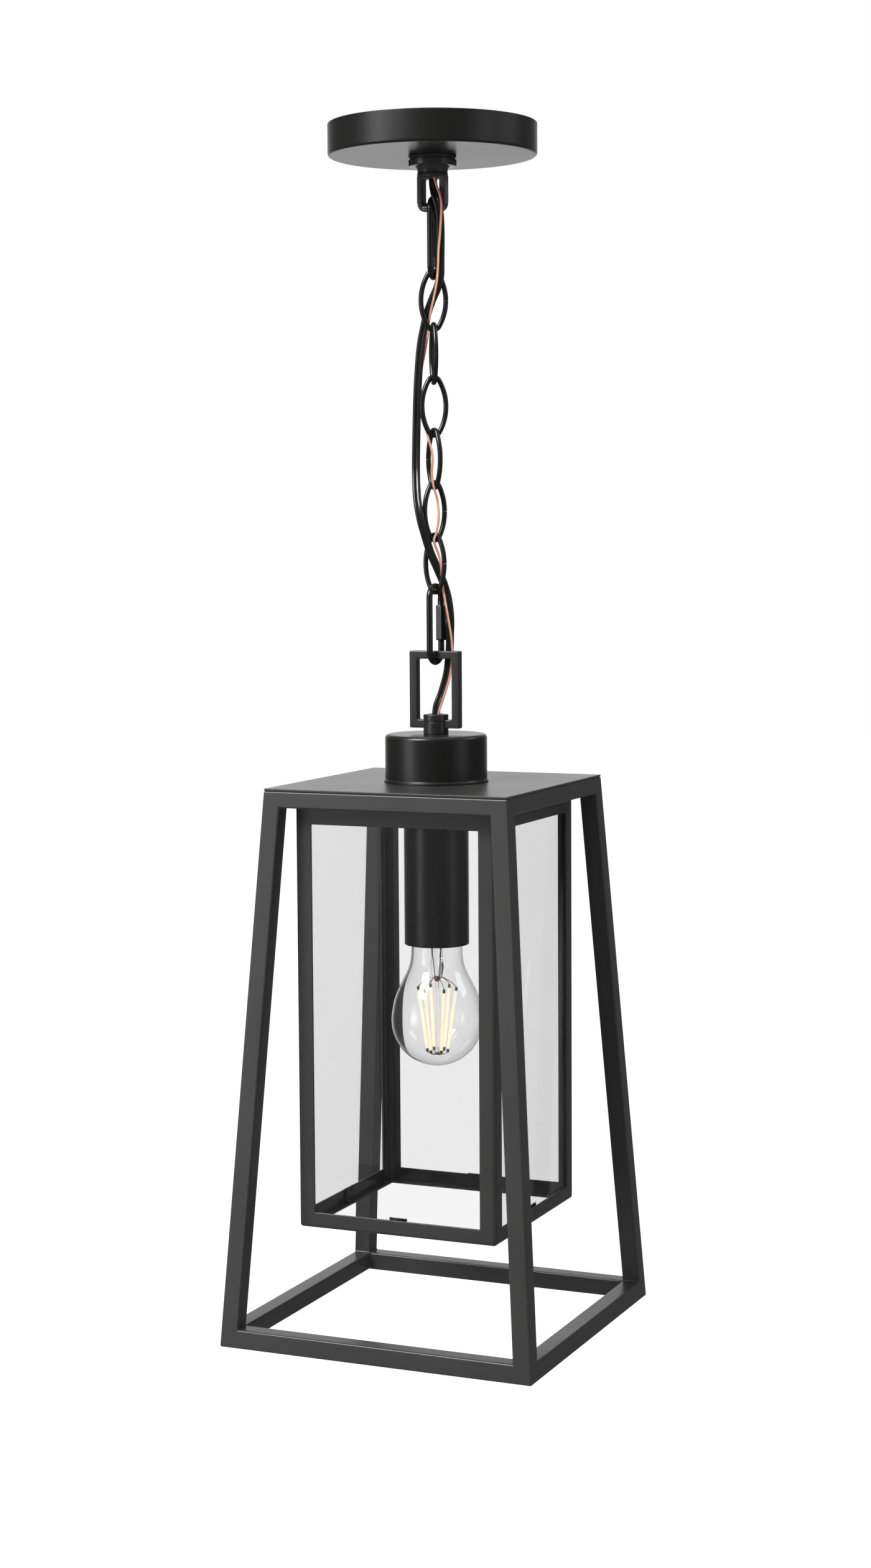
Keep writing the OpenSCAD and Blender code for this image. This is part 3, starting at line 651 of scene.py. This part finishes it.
# chain: two quick links and six wire links
linkForm = {"length": 40, "width": 19, "wire": 3.2, "endRadius": 4, "yaw": (24, 124, 38, 142, 60, 162),
            "seam": (1, -1, -1, 1, 1, -1)}
quickForm = {"length": 52.8, "width": 19, "wire": 4, "yaw": {"top_link": 100, "bottom_link": 84},
             "nutFlats": 6.6, "nutLength": 22.5, "nutCut": 0.6}


def turnAndLift(yaw, height):
    return Matrix.Translation((0, 0, height)) @ Matrix.Rotation(math.radians(yaw), 4, "Z")


# wire line of a link in its own plane, from one side of the butt seam round to the other
def linkLine(form):
    reach = (form["length"] - form["wire"]) / 2 - form["endRadius"]
    half = (form["width"] - form["wire"]) / 2
    big = (half ** 2 + reach ** 2 - form["endRadius"] ** 2) / (2 * half - 2 * form["endRadius"])
    lean = math.atan2(reach, big - half)
    gap = math.radians(0.06)
    line = []

    # an arc of the line: its radius, the middle it is struck from, its two angles, its points
    def arc(radius, middle, start, stop, parts, points, way=1):
        for k in range(points):
            a = start + (stop - start) * k / parts
            line.append((middle[0] + way * radius * math.cos(a), middle[1] + way * radius * math.sin(a)))
    arc(big, (half - big, 0), gap, lean, 13, 13)
    arc(form["endRadius"], (0, reach), lean, math.pi - lean, 20, 20)
    arc(big, (big - half, 0), -lean, lean, 26, 26, -1)
    arc(form["endRadius"], (0, -reach), math.pi + lean, math.tau - lean, 20, 20)
    arc(big, (half - big, 0), -lean, -gap, 13, 14)
    return line, reach + form["endRadius"]


def roundSection(radius, steps=20):
    return [(radius * math.cos(math.tau * k / steps) * mm, radius * math.sin(math.tau * k / steps) * mm)
            for k in range(steps)]


line, drop = linkLine(linkForm)
for k in range(6):
    node = f"chain_link_{k + 1}"
    low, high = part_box(node)
    place = turnAndLift(linkForm["yaw"][k], high.z - (linkForm["wire"] / 2 + drop) * mm)
    path = [place @ Vector((x * linkForm["seam"][k] * mm, 0, z * mm)) for x, z in line]
    normal = place.to_3x3() @ Vector((0, 1, 0))
    bm = bmesh.new()
    swept(bm, path, roundSection(linkForm["wire"] / 2), normal)
    soften(bm, 0.16, 2, angle=60)
    finished(f"wireLink{k + 1}", bm, chainBlack, f"link_{k + 1}", [node], sharp=60,
             even=False)

half = (quickForm["width"] - quickForm["wire"]) / 2
rise = (quickForm["length"] - quickForm["wire"]) / 2 - half
nutTop, nutLength, nutCut = rise - 4.9, quickForm["nutLength"], quickForm["nutCut"]
corner = quickForm["nutFlats"] / math.sqrt(3)


def hexRadius(a, limit):
    return min(quickForm["nutFlats"] / 2 / math.cos((a + math.pi / 6) % (math.pi / 3) - math.pi / 6), limit)


for body in ("top_link", "bottom_link"):
    low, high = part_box(body)
    place = turnAndLift(quickForm["yaw"][body], (low.z + high.z) / 2)
    normal = place.to_3x3() @ Vector((0, 1, 0))
    arc = [(half * math.cos(math.pi * k / 24), rise + half * math.sin(math.pi * k / 24)) for k in range(25)]
    flat = [(half, rise - 11)] + arc + [(-x, -z) for x, z in arc] + [(half, rise - 13)]
    path = [place @ Vector((x * mm, 0, z * mm)) for x, z in flat]
    bm = bmesh.new()
    swept(bm, path, roundSection(quickForm["wire"] / 2, 24), normal)
    soften(bm, 0.3, 2, angle=60)
    # thread that shows above the nut
    ridges = thread(2.3, nutTop, rise - 0.4, 0.9, 0.32) + [(1.6, rise - 0.4), (1.6, nutTop)]
    for v in turned(bm, ridges, 24, centre=(half, 0)):
        v.co = place @ v.co
    finished("quickRing" + body.split("_")[0].title(), bm, chainBlack, body, [body],
             sharp=50, even=False)

    bm = bmesh.new()
    rows = [(2.2, 0, False), (corner - nutCut - 0.15, 0, False), (corner - 0.05, nutCut, True),
            (corner, nutCut * 1.3, True), (corner, nutLength - nutCut * 1.3, True),
            (corner - 0.05, nutLength - nutCut, True), (corner - nutCut - 0.15, nutLength, False),
            (2.2, nutLength, False)]
    rings = []
    for radius, z, flats in rows:
        rings.append([])
        for a in (math.tau * k / 48 for k in range(48)):
            reach = hexRadius(a, radius) if flats else radius
            across, deep = (half + reach * math.cos(a)) * mm, reach * math.sin(a) * mm
            rings[-1].append(bm.verts.new(place @ Vector((across, deep, (nutTop - nutLength + z) * mm))))
    bridged(bm, rings, around=True)
    finished("quickNut" + body.split("_")[0].title(), bm, chainBlack, body + "_sleeve", [body + "_sleeve"],
             sharp=35)
print("chain built")


# lantern hanger: bail, hub, cup, stem
bail = {"half": 17.5, "high": -333.4, "low": -383.3, "bar": 5.5, "topBar": 5.2, "hubRadius": 8.1,
        "hubHigh": -374.3, "hubLow": -387, "bore": 5}
half, high, low, bar = bail["half"], bail["high"], bail["low"], bail["bar"]
hub, crest, bore, deep = bail["hubRadius"], bail["hubHigh"], bail["bore"], bar / 2
bm = bmesh.new()
outer = rounded([(-half, high), (-half, low), (half, low), (half, high)], 0.9, 3)
inner = rounded([(-half + bar, high - bail["topBar"]), (-half + bar, low + bar), (half - bar, low + bar),
                 (half - bar, high - bail["topBar"])], 1.1, 3)
windowRing(bm, outer, inner, deep)
soften(bm, 0.8, 3, lambda p, q: onFace(p, deep) and onFace(q, deep))
turned(bm, rounded([(bore, crest, 0), (hub, crest, 0.7), (hub, crest - 4.2, 0.2),
                    (hub - 0.35, crest - 4.5, 0.2), (hub - 0.35, crest - 4.9, 0.2), (hub, crest - 5.2, 0.2),
                    (hub, bail["hubLow"], 0.4), (bore, bail["hubLow"], 0)], 0, 4), 64)
finished("bailLoop", bm, hangerBlack, "lantern", ["bail_loop"], sharp=50)

stem = {"radius": 5, "bore": 4, "high": -378.5, "low": -470}
bm = bmesh.new()
turned(bm, [(stem["bore"], stem["high"]), (stem["bore"], stem["low"])]
       + thread(stem["radius"], stem["low"], stem["high"], 1.0, 0.3), 40)
finished("stemPipe", bm, zincPlate, "lantern", ["stem_tube"])

cup = {"radius": 33, "high": -387, "low": -418, "edge": 2.6, "flare": 0.7, "wall": 1.5, "hole": 5.2}
radius, high, low, wall = cup["radius"], cup["high"], cup["low"], cup["wall"]
turnedPiece("topCup", [(cup["hole"], high), (radius, high, cup["edge"]), (radius, low + 2.2, 0.5),
                       (radius + cup["flare"], low + 1.2, 0.4), (radius + cup["flare"], low, 0.2),
                       (radius - wall, low, 0.2), (radius - wall, high - wall, 1.4),
                       (cup["hole"], high - wall)], 128, roundBlack, "lantern", "cup",
            arcs=6)

bm = bmesh.new()
low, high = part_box("stem_nut")
hexNut(bm, low.z / mm, high.z / mm)
soften(bm, 0.2)
finished("stemNut", bm, zincPlate, "lantern", ["stem_nut"])

# outer frame: roof plate, and square tube welded into one tapered skeleton with dressed corners
shell = {"roofHalf": 83, "baseHalf": 107, "roof": -418, "base": -775, "plate": 1.5, "tube": 12,
         "edge": 1.15}
bm = bmesh.new()
roof, base, wide = shell["roof"], shell["base"], shell["roofHalf"]
cutPlate(bm, [rounded(rect(wide, -wide, wide), 1.0, 4), circle(5.2)], roof - shell["plate"], roof)
soften(bm, 0.35, 3)
finished("roofPlate", bm, coatBlack, "lantern", ["roof_plate"])


def halfAt(z):
    spread = shell["baseHalf"] - shell["roofHalf"]
    return shell["roofHalf"] + spread * (shell["roof"] - z) / (shell["roof"] - shell["base"])


# every corner of a box skeleton has one outer point, three window points and one inner point
def skeleton(bm, high, innerHigh, innerLow, low, outerAt, innerAt):
    p = {}
    for sx in (-1, 1):
        for sy in (-1, 1):
            for top, (zo, zi) in ((1, (high, innerHigh)), (0, (low, innerLow))):
                for kind, x, y, z in (("ooo", outerAt(zo), outerAt(zo), zo),
                                      ("iio", innerAt(zo), innerAt(zo), zo),
                                      ("ioi", innerAt(zi), outerAt(zi), zi),
                                      ("oii", outerAt(zi), innerAt(zi), zi),
                                      ("iii", innerAt(zi), innerAt(zi), zi)):
                    p[sx, sy, top, kind] = bm.verts.new((sx * x * mm, sy * y * mm, z * mm))
    for s1 in (-1, 1):
        for s2 in (-1, 1):
            # bars along x, along y, and the leg
            for kindA, kindB in (("ooo", "iio"), ("ooo", "ioi"), ("iio", "iii"), ("ioi", "iii")):
                bm.faces.new((p[-1, s1, s2 > 0, kindA], p[1, s1, s2 > 0, kindA], p[1, s1, s2 > 0, kindB],
                              p[-1, s1, s2 > 0, kindB]))
            for kindA, kindB in (("ooo", "iio"), ("ooo", "oii"), ("iio", "iii"), ("oii", "iii")):
                bm.faces.new((p[s1, -1, s2 > 0, kindA], p[s1, 1, s2 > 0, kindA], p[s1, 1, s2 > 0, kindB],
                              p[s1, -1, s2 > 0, kindB]))
            for kindA, kindB in (("ooo", "ioi"), ("ooo", "oii"), ("ioi", "iii"), ("oii", "iii")):
                bm.faces.new((p[s1, s2, 0, kindA], p[s1, s2, 1, kindA], p[s1, s2, 1, kindB],
                              p[s1, s2, 0, kindB]))


bm = bmesh.new()
skeleton(bm, roof - shell["plate"], roof - shell["tube"], base + shell["tube"], base, halfAt,
         lambda z: halfAt(z) - shell["tube"])
soften(bm, shell["edge"], 4)
finished("tubeFrame", bm, coatBlack, "lantern",
         [n for n in frame["nodes"] if n.startswith(("leg_", "bottom_rail_", "top_rail_"))],
         sharp=60)
print("outer frame welded")

# inner cage: folded sheet box with four windows, a turned-in foot lip and glass channels
cage = {"half": 68.2, "high": -419.5, "low": -702, "post": 11, "skirt": 21.9, "rail": 10, "sheet": 1.4,
        "lip": 7, "lipThick": 1.2}
winTop, winLow = cage["high"] - cage["skirt"], cage["low"] + cage["rail"]
winHalf = cage["half"] - cage["post"]
bm = bmesh.new()
sides = [Matrix.Rotation(math.radians(90 * k), 3, "Z") for k in range(4)]
shared = {}


def spot(v):
    key = tuple(round(x, 3) for x in v)
    if key not in shared:
        shared[key] = bm.verts.new(Vector(v) * mm)
    return shared[key]


def frameRing(turnTo, outerRect, innerRect, depthOut, depthIn):
    a = [spot(turnTo @ Vector((x, -depthOut, z))) for x, z in outerRect]
    b = [spot(turnTo @ Vector((x, -depthIn, z))) for x, z in innerRect]
    for k in range(4):
        bm.faces.new((a[k], a[(k + 1) % 4], b[(k + 1) % 4], b[k]))


wide, top, foot, leaf = cage["half"], cage["high"], cage["low"], cage["lipThick"]
inside, lipEdge, outward = wide - cage["sheet"], wide - cage["lip"], wide - 0.01
window = rect(winHalf, winLow, winTop)
lipLine = ((wide, foot), (lipEdge, foot), (lipEdge, foot + leaf), (inside, foot + leaf))
for t in sides:
    frameRing(t, rect(wide, foot, top), window, wide, wide)
    frameRing(t, window, window, wide, inside)
    frameRing(t, window, rect(inside, foot + leaf, top - leaf), inside, inside)
    for a, b in zip(lipLine, lipLine[1:]):
        fold = ((-a[0], -a[0], a[1]), (a[0], -a[0], a[1]), (b[0], -b[0], b[1]), (-b[0], -b[0], b[1]))
        bm.faces.new([spot(t @ Vector(v)) for v in fold])
for half, z in ((wide, top), (inside, top - leaf)):
    bm.faces.new([spot((x, y, z)) for x, y in rect(half, -half, half)])


def outerFold(p, q):
    post = min(abs(p.x), abs(p.y), abs(q.x), abs(q.y)) > outward
    under = max(p.z, q.z) < foot + 0.01
    return post or (under and max(abs(p.x), abs(p.y)) > outward and max(abs(q.x), abs(q.y)) > outward)


def windowEdge(p, q):
    return all(winLow - 3 < v.z < winTop + 3 and max(abs(v.x), abs(v.y)) > inside - 0.01
               and min(abs(v.x), abs(v.y)) < winHalf + 0.01 for v in (p, q))


soften(bm, 2.0, 4, outerFold)
soften(bm, 0.5, 2, windowEdge, angle=60)
finished("cageShell", bm, coatBlack, "lantern", [n for n in frame["nodes"] if n.startswith("cage_")],
         sharp=60)

# the fold inside each post stands beside the pane's edge
channel = {"arm": 5.6, "thick": 1.4, "below": 6, "above": 2}
bm = bmesh.new()
for t in sides:
    base = cage["half"] - cage["sheet"] - 0.02
    arm, leaf = channel["arm"], channel["thick"]
    outline = rounded([(base - arm, -base), (base, -base), (base, arm - base), (base - leaf, arm - base),
                       (base - leaf, leaf - base), (base - arm, leaf - base)], 0.25, 2)
    loops = [[bm.verts.new((t @ Vector((x, y, z))) * mm) for x, y in outline]
             for z in (winLow - channel["below"], winTop + channel["above"])]
    capped(bm, loops)
finished("cageChannels", bm, coatBlack, "lantern")

# panes with a ground arris; the CAD pane of each side is the same size
pane = {"half": 61, "arris": 0.25}
low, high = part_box("glass_front")
for name, t in zip(("front", "right", "back", "left"), sides):
    bm = bmesh.new()
    block(bm, (-pane["half"], low.y / mm, low.z / mm), (pane["half"], high.y / mm, high.z / mm), t)
    soften(bm, pane["arris"], 1)
    finished("pane" + name.title(), bm, paneGlass, "lantern", ["glass_" + name])

clip = {"half": 6, "high": 10, "thick": 1, "foot": 6}
bm = bmesh.new()
back, base, leaf = high.y / mm, low.z / mm, clip["thick"]
outline = rounded([(back, base), (back + clip["foot"], base), (back + clip["foot"], base + leaf),
                   (back + leaf, base + leaf, 0.3), (back + leaf, base + clip["high"]),
                   (back, base + clip["high"])], 0.2, 2)
for t in sides:
    loops = [[bm.verts.new((t @ Vector((x, y, z))) * mm) for y, z in outline]
             for x in (-clip["half"], clip["half"])]
    capped(bm, loops)
soften(bm, 0.2, 2, angle=60)
finished("glassClips", bm, hangerBlack, "lantern", ["glass_tabs"])
print("cage folded and glazed")

# lampholder
tube = {"radius": 21, "wall": 1.2, "high": -420.7, "low": -524, "roof": 1.5, "hole": 5.2}
radius, high, low, wall = tube["radius"], tube["high"], tube["low"], tube["wall"]
turnedPiece("lampTube", [(tube["hole"], high), (radius, high, 0.6), (radius, low, 0.55),
                         (radius - wall, low, 0.55), (radius - wall, high - tube["roof"], 0.6),
                         (tube["hole"], high - tube["roof"])], 112, roundBlack, "lantern", "socket_sleeve",
            arcs=4)

holder = {"radius": 18.5, "bore": 14.65, "low": -522, "shoulder": -462, "floor": -491.95}
turnedPiece("lampHolder", [(5, -452, 0.3), (9, -452, 1), (9, holder["shoulder"], 1),
                           (holder["radius"], holder["shoulder"], 1.6), (holder["radius"], -470, 0.3),
                           (18.1, -470.5, 0.3), (18.1, -472, 0.3), (holder["radius"], -472.5, 0.3),
                           (holder["radius"], holder["low"], 0.9), (holder["bore"], holder["low"], 0.6),
                           (holder["bore"], holder["floor"]), (2, holder["floor"]), (2, -490), (4, -490),
                           (4, -470), (5, -470)], 72, ceramicWhite, "lantern", "socket_body")

bm = bmesh.new()
wave = [(13.85 + 0.3 * math.cos((z + 521) * math.tau / 3.6), z)
        for z in [-521 + 0.4 * k for k in range(68)]]
turned(bm, [(x + 0.25, z) for x, z in wave] + [(14.5, -492.1), (7, -492.1), (7, -492.7), (13.4, -492.8)]
       + [(x - 0.2, z) for x, z in reversed(wave)], 72)
finished("threadShell", bm, shellBrass, "lantern", ["socket_shell"], sharp=50)

turnedPiece("centreContact", [(0, -497.0), (1.6, -497.0, 0.6), (2.5, -495.9, 0.5), (2.5, -493, 0.2),
                              (5, -492.9, 0.3), (5, -492, 0.2), (2, -491.9, 0), (2, -490, 0.3),
                              (0, -489.9)], 40, shellBrass, "lantern", "socket_contact")
print("lampholder built")

# bulb, measured from its centre contact
bulb = {"tip": -497, "radius": 30, "length": 107, "wall": 0.55,
        "neck": ((11.4, 11), (11.8, 23.6), (12.6, 24.3), (14.5, 25.6), (16.4, 28.6), (16.8, 34), (17.4, 39),
                 (19, 44), (22.2, 50.4), (26, 58), (28.8, 66))}
wave = [(12.85 + 0.42 * math.cos((z + 504) * math.tau / 3.6), z)
        for z in [-504 - 0.45 * k for k in range(36)]]
bm = bmesh.new()
turned(bm, [(11, -503.1), (12.3, -503.1)] + wave + [(13.2, -520.4), (13.2, -520.9), (12.7, -521)]
       + [(x - 0.5, z) for x, z in reversed(wave)] + [(11, -503.7)], 72)
finished("capShell", bm, capNickel, "bulb", ["bulb_base"], sharp=50)

turnedPiece("capGlass", [(0, -497.02), (3.6, -497.1, 0.8), (4.8, -498.3, 0.4), (4.8, -499.1, 0.3),
                         (6.2, -499.4, 0.8), (10.9, -502.5, 0.3), (10.9, -504.3, 0), (0, -504.3)], 56,
            insulatorBlack, "bulb", "bulb_insulator")


# smooth line through the neck points, then the round part
def glassOutline(inset):
    knots = [Vector(p) for p in bulb["neck"]]
    line = [onCurve(knots, i, k / 4) for i in range(len(knots) - 1) for k in range(4)]
    centre = bulb["length"] - bulb["radius"]
    turns = [math.radians(degrees) for degrees in range(-10, 90, 4)]
    line += [Vector((bulb["radius"] * math.cos(a), centre + bulb["radius"] * math.sin(a))) for a in turns]
    result = []
    for k, p in enumerate(line):
        ahead = aheadAt(line, k)
        result.append((max(0.0, p.x - ahead.y * inset), bulb["tip"] - (p.y + ahead.x * inset)))
    return result


bottom = bulb["tip"] - bulb["length"]
bm = bmesh.new()
turned(bm, glassOutline(0) + [(0, bottom), (0, bottom + bulb["wall"])] + glassOutline(bulb["wall"])[::-1],
       112)
finished("bulbGlass", bm, bulbClear, "bulb", ["bulb_glass"], sharp=60, even=False)

# glass stem: flared foot, flattened pinch and the thin rod that carries the sticks
rod = {"high": -509, "low": -597, "pinchAt": -541, "pinchReach": 5, "widen": 0.28, "flatten": 0.55}
bm = bmesh.new()
turned(bm, rounded([(0, rod["high"]), (7.4, rod["high"], 0.5), (6.8, -514, 2), (4.4, -522, 3),
                    (3.6, -532, 2), (3.8, -539, 2), (3.2, -545, 1.5), (1.3, -548.5, 1),
                    (1.1, rod["low"] + 1, 0.5), (0, rod["low"])], 0, 4), 40)
for v in bm.verts:
    squeeze = math.exp(-((v.co.z / mm - rod["pinchAt"]) / rod["pinchReach"]) ** 2)
    v.co.x *= 1 + rod["widen"] * squeeze
    v.co.y *= 1 - rod["flatten"] * squeeze
finished("glassStem", bm, bulbClear, "bulb", ["bulb_stem"], sharp=60, even=False)

# six light sticks with clipped ends
stick = {"count": 6, "turn": 14, "foot": 6.6, "low": -595.5, "lean": 8, "length": 43.5, "radius": 0.95,
         "wire": 0.24}
lean = math.radians(stick["lean"])
glow, clips = bmesh.new(), bmesh.new()
feet, heads = [], []
for i in range(stick["count"]):
    a = math.radians(stick["turn"] + 60 * i)
    out = Vector((math.cos(a), math.sin(a), 0))
    rise = (out * math.sin(lean) + Vector((0, 0, math.cos(lean)))).normalized()
    foot = out * stick["foot"] * mm + Vector((0, 0, stick["low"] * mm))
    head = foot + rise * stick["length"] * mm
    feet.append(foot)
    heads.append(head)
    across = rise.cross(out).normalized()
    line = [foot + rise * mm * z for z in (2.2, 8, 15, 22, 29, 36, 41.3)]
    swept(glow, line, roundSection(stick["radius"], 14), across)
    for start, end in ((0, 2.4), (41.1, 43.5)):
        swept(clips, [foot + rise * mm * z for z in (start, start + 0.2, end - 0.2, end)],
              roundSection(0.9, 10), across)
soften(glow, 0.3, 2, angle=60)
finished("lightSticks", glow, stickLight, "bulb", ["bulb_filaments"], sharp=70)
finished("stickClips", clips, leadWire, "bulb", sharp=60)


# a line from start to end, lifted by some millimetres at each share of the way
def bowed(start, end, bends):
    return [start] + [start.lerp(end, share) + Vector((0, 0, lift * mm)) for share, lift in bends] + [end]


bm = bmesh.new()
crown, hub = Vector((0, 0, -546.5 * mm)), Vector((0, 0, -596.2 * mm))
for head, foot in zip(heads, feet):
    for line in (bowed(crown, head, ((0.35, 2.2), (0.75, 1.6))),
                 bowed(hub, foot, ((0.5, -1.1), (0.85, -0.6)))):
        swept(bm, line, roundSection(stick["wire"], 8),
              (line[-1] - line[0]).cross(Vector((0, 0, 1))).normalized())
for x in (-2.4, 2.4):
    swept(bm, [Vector((x * 1.2, 0, -509)) * mm, Vector((x, 0, -522)) * mm, Vector((x * 0.8, 0, -538)) * mm,
               Vector((x * 0.5, 0, -546)) * mm], roundSection(0.3, 8), Vector((0, 1, 0)))
finished("leadWires", bm, leadWire, "bulb", sharp=60, even=False)

beads = ([(0, -545.2), (1.5, -545.4, 0.8), (1.9, -547, 0.8), (1.4, -548.8, 0.8), (0, -549)],
         [(0, -595.4), (1.6, -595.6, 0.5), (1.6, -597.2, 0.5), (0, -597.4)])
bm = bmesh.new()
for outline in beads:
    turned(bm, rounded(outline, 0, 3), 20)
finished("stemBead", bm, beadCopper, "bulb", sharp=60)
print("bulb built")


# studio: pale floor, white surround, soft boxes
studio = {"floor": -1.25, "size": 12, "ambient": 0.08, "lift": 0.86}
bm = bmesh.new()
edge = studio["size"]
turned(bm, [(0, studio["floor"] / mm), (edge / mm, studio["floor"] / mm)], 64, closed=False)
floor = finished("floor", bm, None, None, even=False)
floor.data.materials.clear()
pale = paint("paleFloor")
grain = pale.noise(3, 2)
floor.data.materials.append(pale.coat(colour=pale.blend(grain, (0.34, 0.34, 0.34), (0.38, 0.38, 0.38)),
                                      rough=0.9, glow=(1.0, 1.0, 1.0), glowPower=studio["lift"]))
floor.visible_glossy = False
floor.visible_transmission = False

world = bpy.data.worlds.new("studio")
scene.world = world
sky = Finish(world)
direction = sky.add("ShaderNodeTexCoord", {}, {}, 0)
mirrored = sky.add("ShaderNodeLightPath", {}, {}, "Glossy Depth")
scattered = sky.add("ShaderNodeLightPath", {}, {}, "Diffuse Depth")


# a soft patch of light in the surround: which way it lies, how bright, how tight
def patch(towards, power, tight):
    facing = sky.add("ShaderNodeVectorMath", {"operation": "DOT_PRODUCT"},
                   {0: direction, 1: tuple(Vector(towards).normalized())}, 1)
    return facing.atLeast(0.0) ** tight * power


patches = [((-0.64, -0.77, 0.05), 4.0, 60), ((0.985, -0.12, 0.05), 1.0, 40),
           ((-0.42, 0.90, 0.14), 0.95, 13), ((-0.40, 0.90, -0.22), 0.6, 13), ((0.1, 0.1, 1.0), 0.6, 3)]
shade = studio["ambient"]
for towards, power, tight in patches:
    shade = shade + patch(towards, power, tight)
# straight and through-glass sight meets plain white, mirrored sight meets the patches
bounced = (mirrored + scattered).above(0.5)
level = (1 - bounced) + bounced * shade
glow = sky.add("ShaderNodeBackground", {}, {"Color": (1, 1, 1, 1), "Strength": level})
sky.add("ShaderNodeOutputWorld", {}, {"Surface": glow})

softBoxes = {"key": ((-1.5, -2.9, 2.3), 1.8, 230), "fill": ((2.4, 1.2, 1.2), 1.2, 12),
             "top": ((-0.3, 0.6, 2.2), 1.4, 12)}
for name, (place, size, power) in softBoxes.items():
    lamp = bpy.data.lights.new(name, "AREA")
    lamp.shape, lamp.size, lamp.energy = "SQUARE", size, power
    box = bpy.data.objects.new(name, lamp)
    box.location = place
    box.rotation_euler = (Vector((0, 0, -0.45)) - Vector(place)).to_track_quat("-Z", "Y").to_euler()
    scene.collection.objects.link(box)
print("studio lit")
